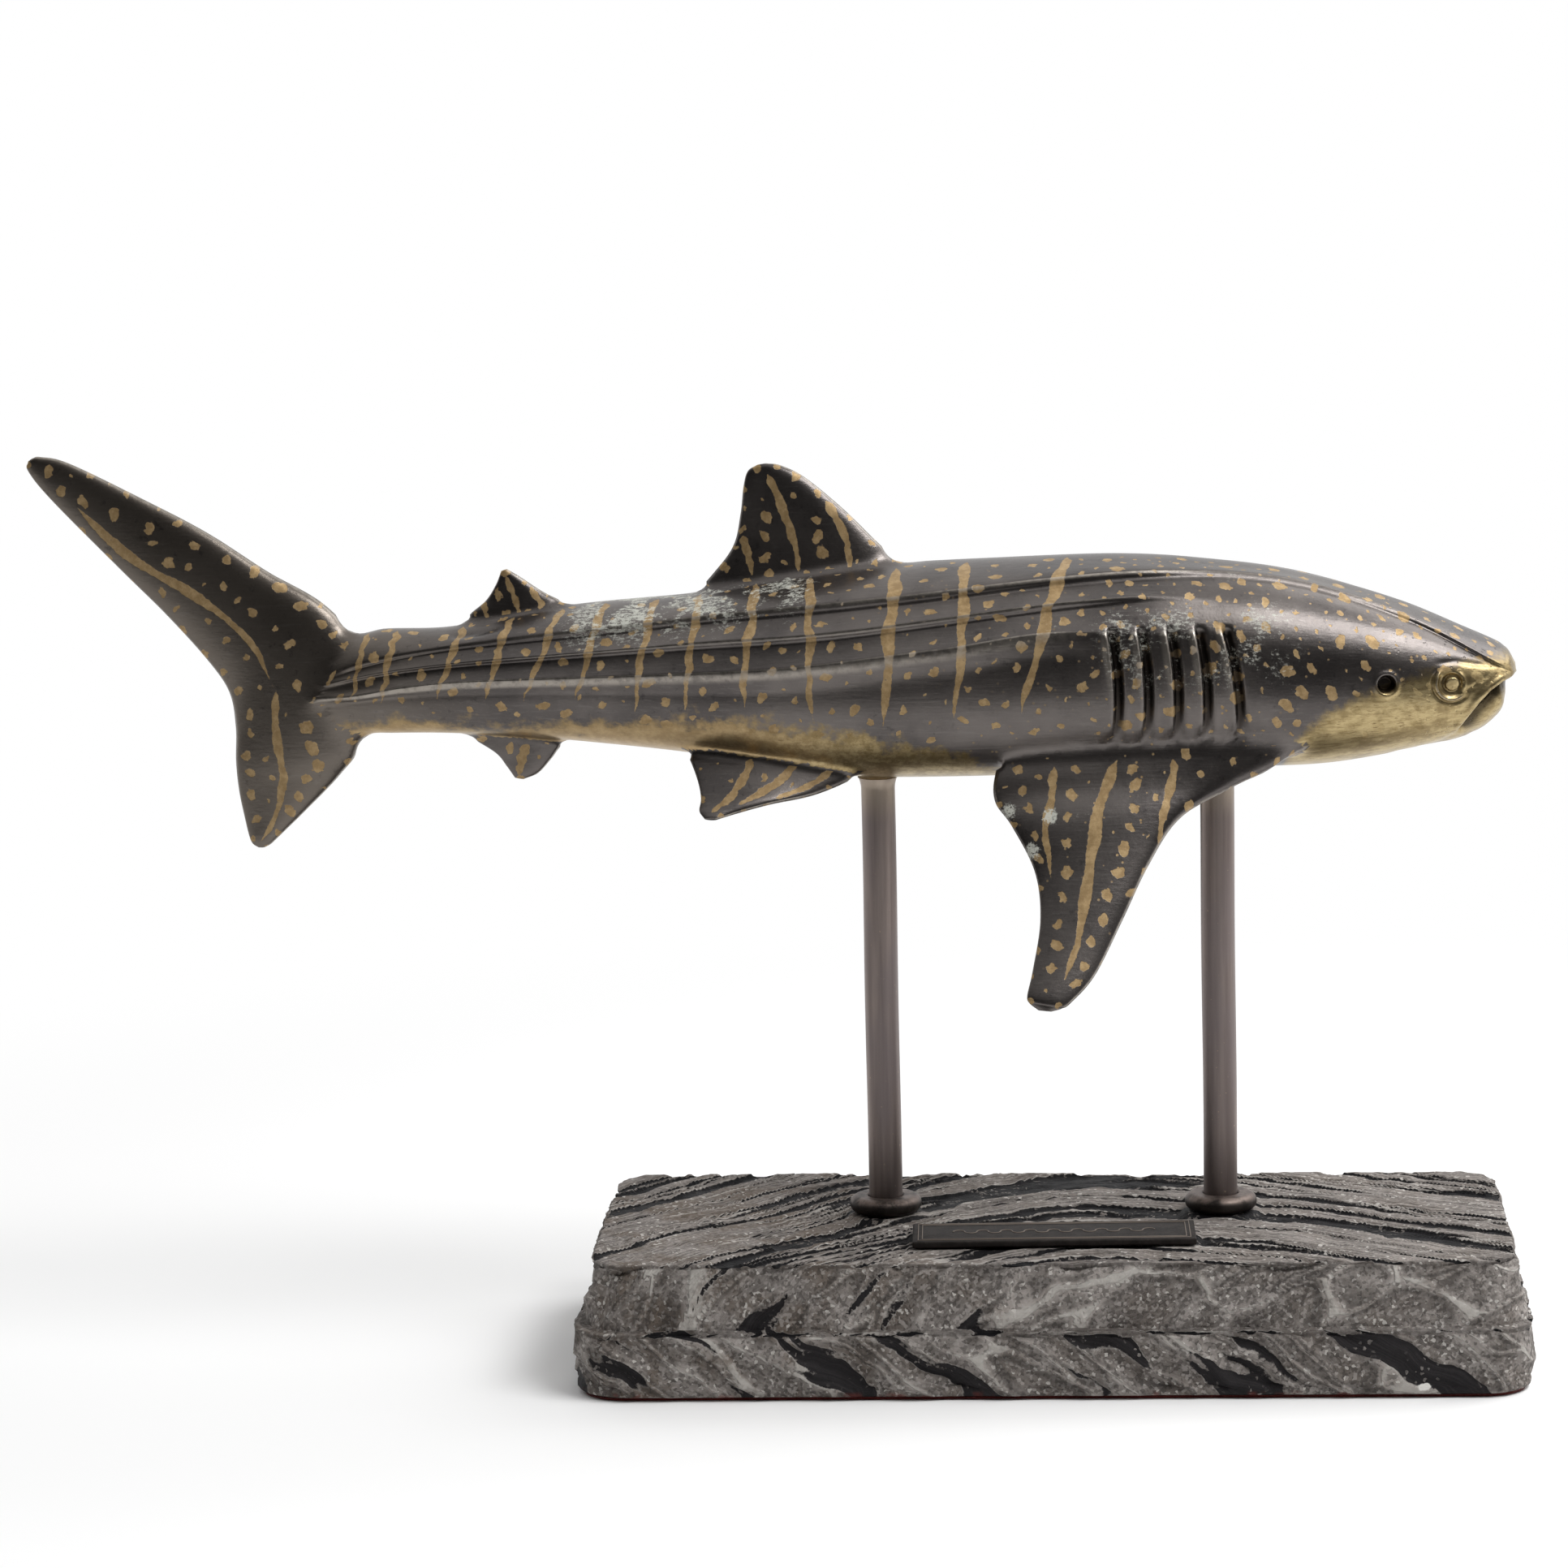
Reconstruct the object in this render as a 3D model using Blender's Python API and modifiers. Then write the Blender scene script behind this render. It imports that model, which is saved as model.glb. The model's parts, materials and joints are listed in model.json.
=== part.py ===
"""Whale shark figurine: a bronze casting on two posts, on a stepped stone plinth.

Metres, +Z up. The origin is at the centre of the underside, +X points to the shark's head.
"""

import math

import bmesh
import bpy
import numpy as np

# Gap that touching pieces keep between their faces.
CLEARANCE = 0.0003
# How far a cutter runs past the face that it opens.
CUTTER_REACH = 0.0100

# Shark casting. PATTERN_LENGTH is the length, in millimetres, at which its outlines are drawn.
SHARK_LENGTH = 0.5545
PATTERN_LENGTH = 554.5
BODY_WIDTH = 0.080
PECTORAL_SPAN = 0.151
EYE_DIAMETER = 0.0052
EYE_PROUD = 0.0010
EYE_ROOT = 0.0020
SPIRACLE_DIAMETER = 0.0070
SPIRACLE_DEPTH = 0.0045
GILL_WIDTH = 0.0026
MOUTH_WIDTH = 0.0022

# Posts: bronze rod, soldered into sockets in the belly.
POST_DIAMETER = 0.0127
POST_SPACING = 0.1267
POST_SET_BACK = 0.0045
BELLY_HEIGHT = 0.1670
SOCKET_DEPTH = 0.0120
SPIGOT_DIAMETER = 0.0100
ROD_CHAMFER = 0.0008
SPIGOT_PAST_NUT = 0.0030
SPIGOT_RECESS = 0.0040

# Ring collars at the feet of the posts.
COLLAR_DIAMETER = 0.0272
COLLAR_HEIGHT = 0.0064

# Washers and nuts, let into the underside of the stone.
WASHER_DIAMETER = 0.0210
WASHER_THICKNESS = 0.0020
NUT_ACROSS_FLATS = 0.0170
NUT_HEIGHT = 0.0080
COUNTERBORE_MARGIN = 0.0040

# Plinth: one block of stone, worked to two steps.
PLINTH_LENGTH = 0.3560
PLINTH_DEPTH = 0.1640
PLINTH_HEIGHT = 0.0498
STEP_HEIGHT = 0.0253
STEP_WIDTH = 0.0030
UPPER_BATTER = 0.0033
REAR_SKEW = 0.0080
CORNER_RADIUS = 0.0200
EDGE_RADIUS = 0.0030

# Plaque on the top of the stone.
PLAQUE_LENGTH = 0.1048
PLAQUE_DEPTH = 0.0290
PLAQUE_THICKNESS = 0.0025
PLAQUE_FROM_EDGE = 0.0215
PLAQUE_OFF_CENTRE = 0.0008
PLAQUE_TURN = math.radians(1.5)
PLAQUE_BEVEL = 0.0006

# Felt under the stone.
FELT_THICKNESS = 0.0010
FELT_INSET = 0.0050

# Heights and places that follow.
PATTERN_SCALE = SHARK_LENGTH / PATTERN_LENGTH
STONE_BOTTOM = FELT_THICKNESS + CLEARANCE
STONE_TOP = STONE_BOTTOM + PLINTH_HEIGHT
BELLY_LEVEL = STONE_TOP + BELLY_HEIGHT
SPIGOT_END = STONE_BOTTOM + SPIGOT_RECESS
NUT_BOTTOM = SPIGOT_END + SPIGOT_PAST_NUT
NUT_TOP = NUT_BOTTOM + NUT_HEIGHT
WASHER_TOP = NUT_TOP + CLEARANCE + WASHER_THICKNESS
POST_PLACES = {"rear": -POST_SPACING / 2, "front": POST_SPACING / 2}
SIDES = {"near": -1, "far": 1}

# Body of the shark: place along it, top and bottom above the belly line, share of full width.
BODY_STATIONS = [
    (-290, 33.5, 29.5, 0.03),
    (-272, 46, 22, 0.20),
    (-255, 57.5, 19.5, 0.34),
    (-222, 59, 19, 0.49),
    (-178, 66.5, 16, 0.63),
    (-131, 70.5, 10.5, 0.77),
    (-69, 79.5, 1, 0.93),
    (21, 83, 2, 1.00),
    (66, 80, 3, 0.96),
    (103, 73, 4, 0.875),
    (133, 63.5, 8.5, 0.77),
    (156, 53.5, 14, 0.65),
    (167, 48.5, 20, 0.54),
    (172, 44.5, 27, 0.39),
    (174.3, 38.6, 34, 0.12),
]
# Ridges along each flank: heights above the belly line, and how far each stands proud.
UPPER_RIDGE = [(-290, 33), (-240, 50), (-140, 62), (-57, 70), (30, 77.8), (87, 74.3), (132, 60.4), (174, 38.2)]
MIDDLE_RIDGE = [(-290, 32.5), (-240, 45), (-140, 54), (-77, 58.7), (14, 69), (60, 69), (132, 55), (174, 37.6)]
KEEL_RIDGE = [(-290, 31.5), (-261, 35), (-218, 41), (-107, 45.5), (-40, 52.6), (22, 58.7), (132, 46), (174, 37)]
RIDGE_SHARES = [(-290, 0.3), (-240, 0.7), (-140, 1.0), (0, 1.0), (60, 0.35), (174, 0.1)]
RIDGE_PROUD = 1.3
BODY_SQUARENESS = 2.25

# Fins: pairs of points on the front and rear edge, root to tip, and the half thickness there.
CAUDAL_FIN = [
    ((-376, 0, 125.3), (-380.3, 0, 121.5), 1.2),
    ((-364, 0, 122.6), (-371, 0, 108.5), 2.2),
    ((-336, 0, 108.4), (-346, 0, 82), 3.2),
    ((-313, 0, 95.8), (-329.7, 0, 65.1), 4.2),
    ((-291, 0, 81), (-315, 0, 48), 5.2),
    ((-268, 0, 66.5), (-307, 0, 35.5), 6.6),
    ((-250, 0, 42), (-305, 0, 22), 7.6),
    ((-257, 0, 16), (-305.4, 0, 9), 6.4),
    ((-266, 0, 3.5), (-304.6, 0, -2.5), 4.6),
    ((-279, 0, -9.5), (-302.8, 0, -13), 3.2),
    ((-291.5, 0, -21.3), (-300, 0, -21.5), 2.0),
    ((-296, 0, -24), (-298.5, 0, -23.8), 1.0),
]
FIRST_DORSAL_FIN = [
    ((-30, 0, 72), (-138, 0, 62), 7.5),
    ((-52, 0, 81), (-124, 0, 77), 6.0),
    ((-60.6, 0, 87.5), (-115.6, 0, 88), 4.8),
    ((-74, 0, 101), (-112.6, 0, 100), 3.8),
    ((-88, 0, 113), (-111.3, 0, 110), 2.8),
    ((-97, 0, 117.8), (-109.6, 0, 115.8), 1.9),
    ((-102.5, 0, 118.9), (-106, 0, 118.4), 1.0),
]
SECOND_DORSAL_FIN = [
    ((-158, 0, 58), (-223, 0, 50), 5.0),
    ((-178, 0, 67.2), (-216.5, 0, 62), 3.6),
    ((-187, 0, 71.6), (-209, 0, 68.6), 2.6),
    ((-196, 0, 77.7), (-205, 0, 74.6), 1.8),
    ((-200.6, 0, 80.5), (-202.8, 0, 79.8), 0.9),
]
ANAL_FIN = [
    ((-168, 0, 26), (-230, 0, 28), 5.0),
    ((-181, 0, 14.5), (-217.5, 0, 18), 3.6),
    ((-186, 0, 8.5), (-207, 0, 11), 2.6),
    ((-191, 0, 3.2), (-203, 0, 6), 1.8),
    ((-196.5, 0, 0.9), (-200, 0, 1.5), 0.9),
]
PELVIC_FIN = [
    ((-52, 10, 14), (-138, 10, 20), 4.2),
    ((-68, 19, 4.5), (-132.5, 19, 11), 3.4),
    ((-84, 25, -1.8), (-129, 26, 3.5), 2.6),
    ((-101, 31, -4.4), (-127.6, 31, -2.2), 1.9),
    ((-114, 35, -7.2), (-128, 35, -6.2), 1.4),
    ((-121, 37.5, -8.9), (-126, 37.5, -8.8), 0.8),
]
# The middle value of each point of the pectoral fin is a share of half the span.
PECTORAL_FIN = [
    ((86, 0.24, 20), (-12, 0.24, 22), 6.5),
    ((80, 0.385, 5), (-18.3, 0.385, 6.5), 5.6),
    ((60, 0.465, -2.6), (-18.8, 0.45, -4), 5.0),
    ((46, 0.545, -11), (-12.5, 0.545, -12.5), 4.4),
    ((36, 0.64, -27), (-4.2, 0.65, -28), 3.8),
    ((27.5, 0.77, -45), (-2.3, 0.78, -44), 3.2),
    ((17.5, 0.90, -63), (-5.2, 0.915, -61), 2.4),
    ((8.6, 0.98, -72), (-7.2, 0.98, -69), 1.7),
    ((0, 1.0, -74.7), (-4.6, 0.996, -73.8), 0.9),
]
# Gill slits: place of the top and of the bottom of each, and the heights between which they run.
GILL_SLITS = [(23.5, 26), (34.5, 37), (45.2, 48.1), (55.6, 58.5), (65.4, 70.8)]
GILL_TOP, GILL_BOTTOM = 58.5, 16
GILL_BOW = 3.0
EYE_PLACE = (149.3, 37)
SPIRACLE_PLACE = (125.3, 37.5)
# Mouth line from its corner to the middle of the snout, as places on the flank.
MOUTH_LINE = [(152.5, 18.5), (159.6, 29), (166.7, 35), (171.5, 36.5)]


def clear_scene():
    for obj in list(bpy.data.objects):
        bpy.data.objects.remove(obj, do_unlink=True)


def new_collection(name):
    collection = bpy.data.collections.new(name)
    bpy.context.scene.collection.children.link(collection)
    return collection


def finish_of(name, colour, roughness, metallic):
    material = bpy.data.materials.new(name)
    material.use_nodes = True
    shader = material.node_tree.nodes["Principled BSDF"]
    shader.inputs["Base Color"].default_value = (*colour, 1.0)
    shader.inputs["Roughness"].default_value = roughness
    shader.inputs["Metallic"].default_value = metallic
    return material


def add_object(name, mesh, collection, material=None):
    obj = bpy.data.objects.new(name, mesh)
    collection.objects.link(obj)
    if material:
        mesh.materials.append(material)
    return obj


def as_cutter(obj):
    obj.hide_render = True
    obj.display_type = "WIRE"
    return obj


def combine(obj, other, operation):
    modifier = obj.modifiers.new(other.name, "BOOLEAN")
    modifier.operation = operation
    modifier.solver = "EXACT"
    modifier.object = other


def smooth_curve(keys, count):
    """Points of a smooth curve through the keys, evenly spread over the key numbers."""
    keys = np.asarray(keys, float)
    ends = np.vstack([2 * keys[0] - keys[1], keys, 2 * keys[-1] - keys[-2]])
    places = np.linspace(0, len(keys) - 1, count)
    first = np.minimum(places.astype(int), len(keys) - 2)
    t = (places - first)[:, None]
    a, b, c, d = (ends[first + i] for i in range(4))
    return 0.5 * (2 * b + (c - a) * t + (2 * a - 5 * b + 4 * c - d) * t**2 + (3 * b - a - 3 * c + d) * t**3)


def body_curve(column, x):
    """A column of the body's stations, read smoothly at the place x."""
    stations = np.array(BODY_STATIONS)
    fine = smooth_curve(stations[:, [0, column]], 400)
    return float(np.interp(x, fine[:, 0], fine[:, 1]))


def table_at(table, x):
    places, values = zip(*table)
    return float(np.interp(x, places, values))


def flank_angle(x, height):
    """The angle on the body's section, from -90 at the belly to 90 at the back, at a height."""
    top, bottom = body_curve(1, x), body_curve(2, x)
    share = (2 * height - top - bottom) / (top - bottom)
    share = max(-0.999, min(0.999, share))
    return math.copysign(math.asin(abs(share) ** (BODY_SQUARENESS / 2)), share)


def body_point(x, angle):
    """Half breadth and height of the plain section at an angle."""
    top, bottom = body_curve(1, x), body_curve(2, x)
    half_width = body_curve(3, x) * BODY_WIDTH / 2 / PATTERN_SCALE
    power = 2 / BODY_SQUARENESS
    across = half_width * abs(math.cos(angle)) ** power
    up = (top - bottom) / 2 * math.copysign(abs(math.sin(angle)) ** power, angle)
    return across, (top + bottom) / 2 + up


def flank_breadth(x, height):
    return body_point(x, flank_angle(x, height))[0]


# Parts of the way from one ridge to the next, and how far the surface stands out there.
PANEL = [(0.0, 1.0), (0.16, -0.75), (0.55, -0.55), (0.85, 0.25)]
BACK_PANEL = [(0.0, 0.0), (0.45, 0.0), (0.85, 0.2)]
FLANK_PARTS = [0.0, 0.10, 0.24, 0.40, 0.55, 0.70, 0.85]
FLANK_PROUD = [1.0, -0.6, -0.2, 0.0, 0.0, 0.0, 0.0]


def half_section(x):
    """(breadth, height) from the middle of the back down to the middle of the belly."""
    angles = [math.pi / 2]
    angles += [flank_angle(x, table_at(ridge, x)) for ridge in (UPPER_RIDGE, MIDDLE_RIDGE, KEEL_RIDGE)]
    angles.append(-math.pi / 2)
    flank = list(zip(FLANK_PARTS, FLANK_PROUD))
    points = []
    for panel, start, end in zip([BACK_PANEL, PANEL, PANEL, flank], angles, angles[1:]):
        for part, proud in panel:
            angle = start + (end - start) * part
            across, up = body_point(x, angle)
            stand = proud * RIDGE_PROUD * table_at(RIDGE_SHARES, x)
            if across > 0.01:
                across += stand * math.cos(angle)
                up += stand * math.sin(angle)
            points.append((across, up))
    points.append(body_point(x, -math.pi / 2))
    points[0] = (0.0, points[0][1])
    points[-1] = (0.0, points[-1][1])
    return points


def loft(name, rings, collection, material=None):
    """A closed mesh through rings of equally many points in pattern millimetres, capped at both ends."""
    count = len(rings[0])
    bm = bmesh.new()
    for ring in rings:
        for x, y, z in ring:
            bm.verts.new((x * PATTERN_SCALE, y * PATTERN_SCALE, z * PATTERN_SCALE))
    bm.verts.ensure_lookup_table()
    for row in range(len(rings) - 1):
        for i in range(count):
            a, b = row * count + i, row * count + (i + 1) % count
            bm.faces.new([bm.verts[v] for v in (a, b, b + count, a + count)])
    for start in (0, (len(rings) - 1) * count):
        middle = bm.verts.new(sum((bm.verts[start + i].co for i in range(1, count)), bm.verts[start].co.copy()) / count)
        bm.verts.ensure_lookup_table()
        for i in range(count):
            bm.faces.new([bm.verts[start + i], bm.verts[start + (i + 1) % count], middle])
    bmesh.ops.recalc_face_normals(bm, faces=bm.faces)
    mesh = bpy.data.meshes.new(name)
    bm.to_mesh(mesh)
    bm.free()
    mesh.shade_smooth()
    return add_object(name, mesh, collection, material)


def make_body(collection, material):
    rear, front = BODY_STATIONS[0][0], BODY_STATIONS[-1][0]
    snout = front - 20
    places = list(np.linspace(rear, snout, 40))
    places += [snout + 20 * math.sin(math.radians(angle)) for angle in (18, 36, 52, 66, 78, 90)]
    rings = []
    for x in places:
        side = half_section(x)
        ring = [(x, -across, up) for across, up in side]
        ring += [(x, across, up) for across, up in side[-2:0:-1]]
        rings.append(ring)
    return loft("shark_casting", rings, collection, material)


# Half of a fin's section: parts of the way from its front to its rear edge, front edge rounder.
CHORD_PARTS = [0.04, 0.14, 0.32, 0.56, 0.80, 0.94]


def fin_ring(front, rear, half_thickness, normal):
    ring = [front]
    for part in CHORD_PARTS:
        depth = half_thickness * (1 - abs(2 * part**0.8 - 1) ** 2.2) ** 0.5
        ring.append(front + (rear - front) * part + normal * depth)
    ring.append(rear)
    for part in reversed(CHORD_PARTS):
        depth = half_thickness * (1 - abs(2 * part**0.8 - 1) ** 2.2) ** 0.5
        ring.append(front + (rear - front) * part - normal * depth)
    return ring


def make_fin(name, pairs, rows, collection, outward=1.0):
    """A fin as a loft of rounded blade sections between its front and its rear edge."""
    turn = np.array([1, outward, 1])
    front = smooth_curve([a for a, b, c in pairs], rows) * turn
    rear = smooth_curve([b for a, b, c in pairs], rows) * turn
    thickness = smooth_curve([[c] for a, b, c in pairs], rows)[:, 0]
    middle = (front + rear) / 2
    along = np.gradient(middle, axis=0)
    normals = np.cross(rear - front, along)
    normals /= np.linalg.norm(normals, axis=1)[:, None]
    rings = [fin_ring(*parts) for parts in zip(front, rear, thickness, normals)]
    return as_cutter(loft(name, rings, collection))


def tube(name, points, radius, collection):
    """A round bar along points in metres, as a mesh."""
    curve = bpy.data.curves.new(name, "CURVE")
    curve.dimensions = "3D"
    curve.bevel_depth = radius
    curve.bevel_resolution = 1
    curve.use_fill_caps = True
    spline = curve.splines.new("POLY")
    spline.points.add(len(points) - 1)
    for place, point in zip(spline.points, points):
        place.co = (*point, 1.0)
    guide = bpy.data.objects.new(name + "_guide", curve)
    collection.objects.link(guide)
    graph = bpy.context.evaluated_depsgraph_get()
    mesh = bpy.data.meshes.new_from_object(guide.evaluated_get(graph))
    bpy.data.objects.remove(guide)
    bm = bmesh.new()
    bm.from_mesh(mesh)
    bmesh.ops.remove_doubles(bm, verts=bm.verts, dist=1e-7)
    bmesh.ops.recalc_face_normals(bm, faces=bm.faces)
    bm.to_mesh(mesh)
    bm.free()
    return as_cutter(add_object(name, mesh, collection))


def cylinder(name, radius, bottom, top, place, collection, sides=32, material=None):
    """An upright cylinder in world metres, its mesh centred on place (x, y)."""
    bm = bmesh.new()
    bmesh.ops.create_cone(bm, cap_ends=True, segments=sides, radius1=radius, radius2=radius, depth=top - bottom)
    mesh = bpy.data.meshes.new(name)
    bm.to_mesh(mesh)
    bm.free()
    obj = add_object(name, mesh, collection, material)
    obj.location = (*place, (top + bottom) / 2)
    return obj


def flank_bar(name, place, side, diameter, inner, outer, collection):
    """A short bar square to the flank, from `inner` inside the surface to `outer` outside it."""
    x, height = place
    across = flank_breadth(x, height) * PATTERN_SCALE
    bm = bmesh.new()
    bmesh.ops.create_cone(
        bm, cap_ends=True, segments=20, radius1=diameter / 2, radius2=diameter / 2, depth=inner + outer
    )
    mesh = bpy.data.meshes.new(name)
    bm.to_mesh(mesh)
    bm.free()
    obj = as_cutter(add_object(name, mesh, collection))
    obj.rotation_euler = (math.pi / 2, 0, 0)
    obj.location = (x * PATTERN_SCALE, side * (across + (outer - inner) / 2), height * PATTERN_SCALE)
    return obj


def belly_at(x_world):
    """Height of the belly line over a place along the plinth, in metres."""
    return BELLY_LEVEL + body_curve(2, x_world / PATTERN_SCALE) * PATTERN_SCALE


def make_shark(parts, cutters, material):
    shark = make_body(parts, material)
    pieces = [
        make_fin("caudal_fin", CAUDAL_FIN, 30, cutters),
        make_fin("first_dorsal_fin", FIRST_DORSAL_FIN, 16, cutters),
        make_fin("second_dorsal_fin", SECOND_DORSAL_FIN, 11, cutters),
        make_fin("anal_fin", ANAL_FIN, 11, cutters),
    ]
    half_span = PECTORAL_SPAN / 2 / PATTERN_SCALE
    for word, side in SIDES.items():
        pieces.append(make_fin("pelvic_fin_" + word, PELVIC_FIN, 12, cutters, side))
        pieces.append(make_fin("pectoral_fin_" + word, PECTORAL_FIN, 18, cutters, side * half_span))
        pieces.append(flank_bar("eye_" + word, EYE_PLACE, side, EYE_DIAMETER, EYE_ROOT, EYE_PROUD, cutters))
    for piece in pieces:
        piece.parent = shark
        combine(shark, piece, "UNION")
    cuts = []
    for word, side in SIDES.items():
        for number, (above, below) in enumerate(GILL_SLITS, 1):
            line = []
            for part in np.linspace(0, 1, 9):
                x = above + (below - above) * part + GILL_BOW * math.sin(math.pi * part)
                height = GILL_TOP + (GILL_BOTTOM - GILL_TOP) * part
                line.append(np.array([x, side * flank_breadth(x, height), height]) * PATTERN_SCALE)
            cuts.append(tube(f"gill_{word}_{number}", line, GILL_WIDTH / 2, cutters))
        name = "spiracle_" + word
        cuts.append(
            flank_bar(name, SPIRACLE_PLACE, side, SPIRACLE_DIAMETER, SPIRACLE_DEPTH, SPIRACLE_DEPTH, cutters)
        )
    near = [(x, -flank_breadth(x, height), height) for x, height in MOUTH_LINE]
    nose = (BODY_STATIONS[-1][0], 0, MOUTH_LINE[-1][1])
    mouth = near + [nose] + [(x, -y, z) for x, y, z in reversed(near)]
    cuts.append(tube("mouth", np.array(mouth) * PATTERN_SCALE, MOUTH_WIDTH / 2, cutters))
    for cut in cuts:
        cut.parent = shark
        combine(shark, cut, "DIFFERENCE")
    shark.location = (0, POST_SET_BACK, BELLY_LEVEL)
    for word, x in POST_PLACES.items():
        top = belly_at(x) + SOCKET_DEPTH + CLEARANCE
        bottom = top - 3 * SOCKET_DEPTH
        socket = cylinder(
            word + "_socket", POST_DIAMETER / 2 + CLEARANCE, bottom, top, (x, POST_SET_BACK), cutters
        )
        combine(shark, as_cutter(socket), "DIFFERENCE")


def turned(name, profile, place, collection, material, steps=40):
    """A turned piece from a closed or axis-to-axis profile of (radius, height)."""
    mesh = bpy.data.meshes.new(name)
    count = len(profile)
    closed = profile[0][0] > 0
    edges = [(i, (i + 1) % count) for i in range(count if closed else count - 1)]
    mesh.from_pydata([(r, 0, z) for r, z in profile], edges, [])
    obj = add_object(name, mesh, collection, material)
    screw = obj.modifiers.new("turn", "SCREW")
    screw.steps = screw.render_steps = steps
    screw.use_merge_vertices = True
    screw.merge_threshold = 1e-6
    screw.use_smooth_shade = False
    obj.location = (*place, 0)
    return obj


def make_post(word, x, collection, material):
    """A rod with a thinner threaded spigot that goes down through the stone."""
    radius, spigot = POST_DIAMETER / 2, SPIGOT_DIAMETER / 2
    top = belly_at(x) + SOCKET_DEPTH
    shoulder = STONE_TOP + CLEARANCE
    chamfer = ROD_CHAMFER
    profile = [
        (0, top),
        (radius - chamfer, top),
        (radius, top - chamfer),
        (radius, shoulder),
        (spigot, shoulder),
        (spigot, SPIGOT_END + chamfer),
        (spigot - chamfer, SPIGOT_END),
        (0, SPIGOT_END),
    ]
    return turned(word + "_post", profile, (x, POST_SET_BACK), collection, material)


def make_collar(word, x, collection, material):
    """A ring with a rounded rim that hides the foot of the post."""
    bore = POST_DIAMETER / 2 + CLEARANCE
    bottom = STONE_TOP + CLEARANCE
    roll = COLLAR_HEIGHT / 2
    middle = COLLAR_DIAMETER / 2 - roll
    profile = [(bore, bottom + COLLAR_HEIGHT)]
    for angle in range(90, -91, -30):
        turn = math.radians(angle)
        profile.append((middle + roll * math.cos(turn), bottom + roll + roll * math.sin(turn)))
    profile.append((bore, bottom))
    return turned(word + "_collar", profile, (x, POST_SET_BACK), collection, material)


def ring_profile(bore, outer, bottom, top):
    return [(bore, top), (outer, top), (outer, bottom), (bore, bottom)]


def make_washer(word, x, collection, material):
    profile = ring_profile(
        SPIGOT_DIAMETER / 2 + CLEARANCE, WASHER_DIAMETER / 2, WASHER_TOP - WASHER_THICKNESS, WASHER_TOP
    )
    return turned(word + "_washer", profile, (x, POST_SET_BACK), collection, material)


def make_nut(word, x, collection, cutters, material):
    across_corners = NUT_ACROSS_FLATS / math.cos(math.pi / 6)
    place = (x, POST_SET_BACK)
    nut = cylinder(word + "_nut", across_corners / 2, NUT_BOTTOM, NUT_TOP, place, collection, 6, material)
    bore = cylinder(
        word + "_nut_bore",
        SPIGOT_DIAMETER / 2 + CLEARANCE,
        NUT_BOTTOM - CUTTER_REACH,
        NUT_TOP + CUTTER_REACH,
        place,
        cutters,
    )
    combine(nut, as_cutter(bore), "DIFFERENCE")
    return nut


def plinth_tier(name, length, depth, batter, bottom, top, collection, material=None):
    """A block with rounded corners whose sides lean in by `batter` up to its top."""
    bm = bmesh.new()
    bmesh.ops.create_cube(bm, size=1.0)
    for vert in bm.verts:
        upper = vert.co.z > 0
        lean = batter if upper else 0.0
        x = math.copysign(length / 2 - lean, vert.co.x)
        y = math.copysign(depth / 2 - lean, vert.co.y)
        if x > 0 and y > 0:
            y -= REAR_SKEW
        vert.co = (x, y, top if upper else bottom)
    upright = [edge for edge in bm.edges if abs(edge.verts[0].co.z - edge.verts[1].co.z) > (top - bottom) / 2]
    bmesh.ops.bevel(bm, geom=upright, offset=CORNER_RADIUS, offset_type="WIDTH", segments=6, profile=0.5, affect="EDGES")
    rims = [edge for edge in bm.edges if abs(edge.verts[0].co.z - edge.verts[1].co.z) < 1e-6]
    bmesh.ops.bevel(bm, geom=rims, offset=EDGE_RADIUS, segments=2, profile=0.5, affect="EDGES")
    bmesh.ops.recalc_face_normals(bm, faces=bm.faces)
    mesh = bpy.data.meshes.new(name)
    bm.to_mesh(mesh)
    bm.free()
    return add_object(name, mesh, collection, material)


def make_plinth(parts, cutters, material):
    step_top = STONE_BOTTOM + STEP_HEIGHT
    plinth = plinth_tier("stone_plinth", PLINTH_LENGTH, PLINTH_DEPTH, 0.0, STONE_BOTTOM, step_top, parts, material)
    upper = plinth_tier(
        "upper_tier",
        PLINTH_LENGTH - 2 * STEP_WIDTH,
        PLINTH_DEPTH - 2 * STEP_WIDTH,
        UPPER_BATTER,
        step_top - 2 * EDGE_RADIUS,
        STONE_TOP,
        cutters,
    )
    combine(plinth, as_cutter(upper), "UNION")
    counterbore = WASHER_DIAMETER / 2 + COUNTERBORE_MARGIN
    for word, x in POST_PLACES.items():
        place = (x, POST_SET_BACK)
        below, above = STONE_BOTTOM - CUTTER_REACH, STONE_TOP + CUTTER_REACH
        hole = cylinder(word + "_hole", SPIGOT_DIAMETER / 2 + CLEARANCE, below, above, place, cutters)
        bore = cylinder(word + "_counterbore", counterbore, below, WASHER_TOP + CLEARANCE, place, cutters, 40)
        combine(plinth, as_cutter(hole), "DIFFERENCE")
        combine(plinth, as_cutter(bore), "DIFFERENCE")
    return plinth


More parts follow.
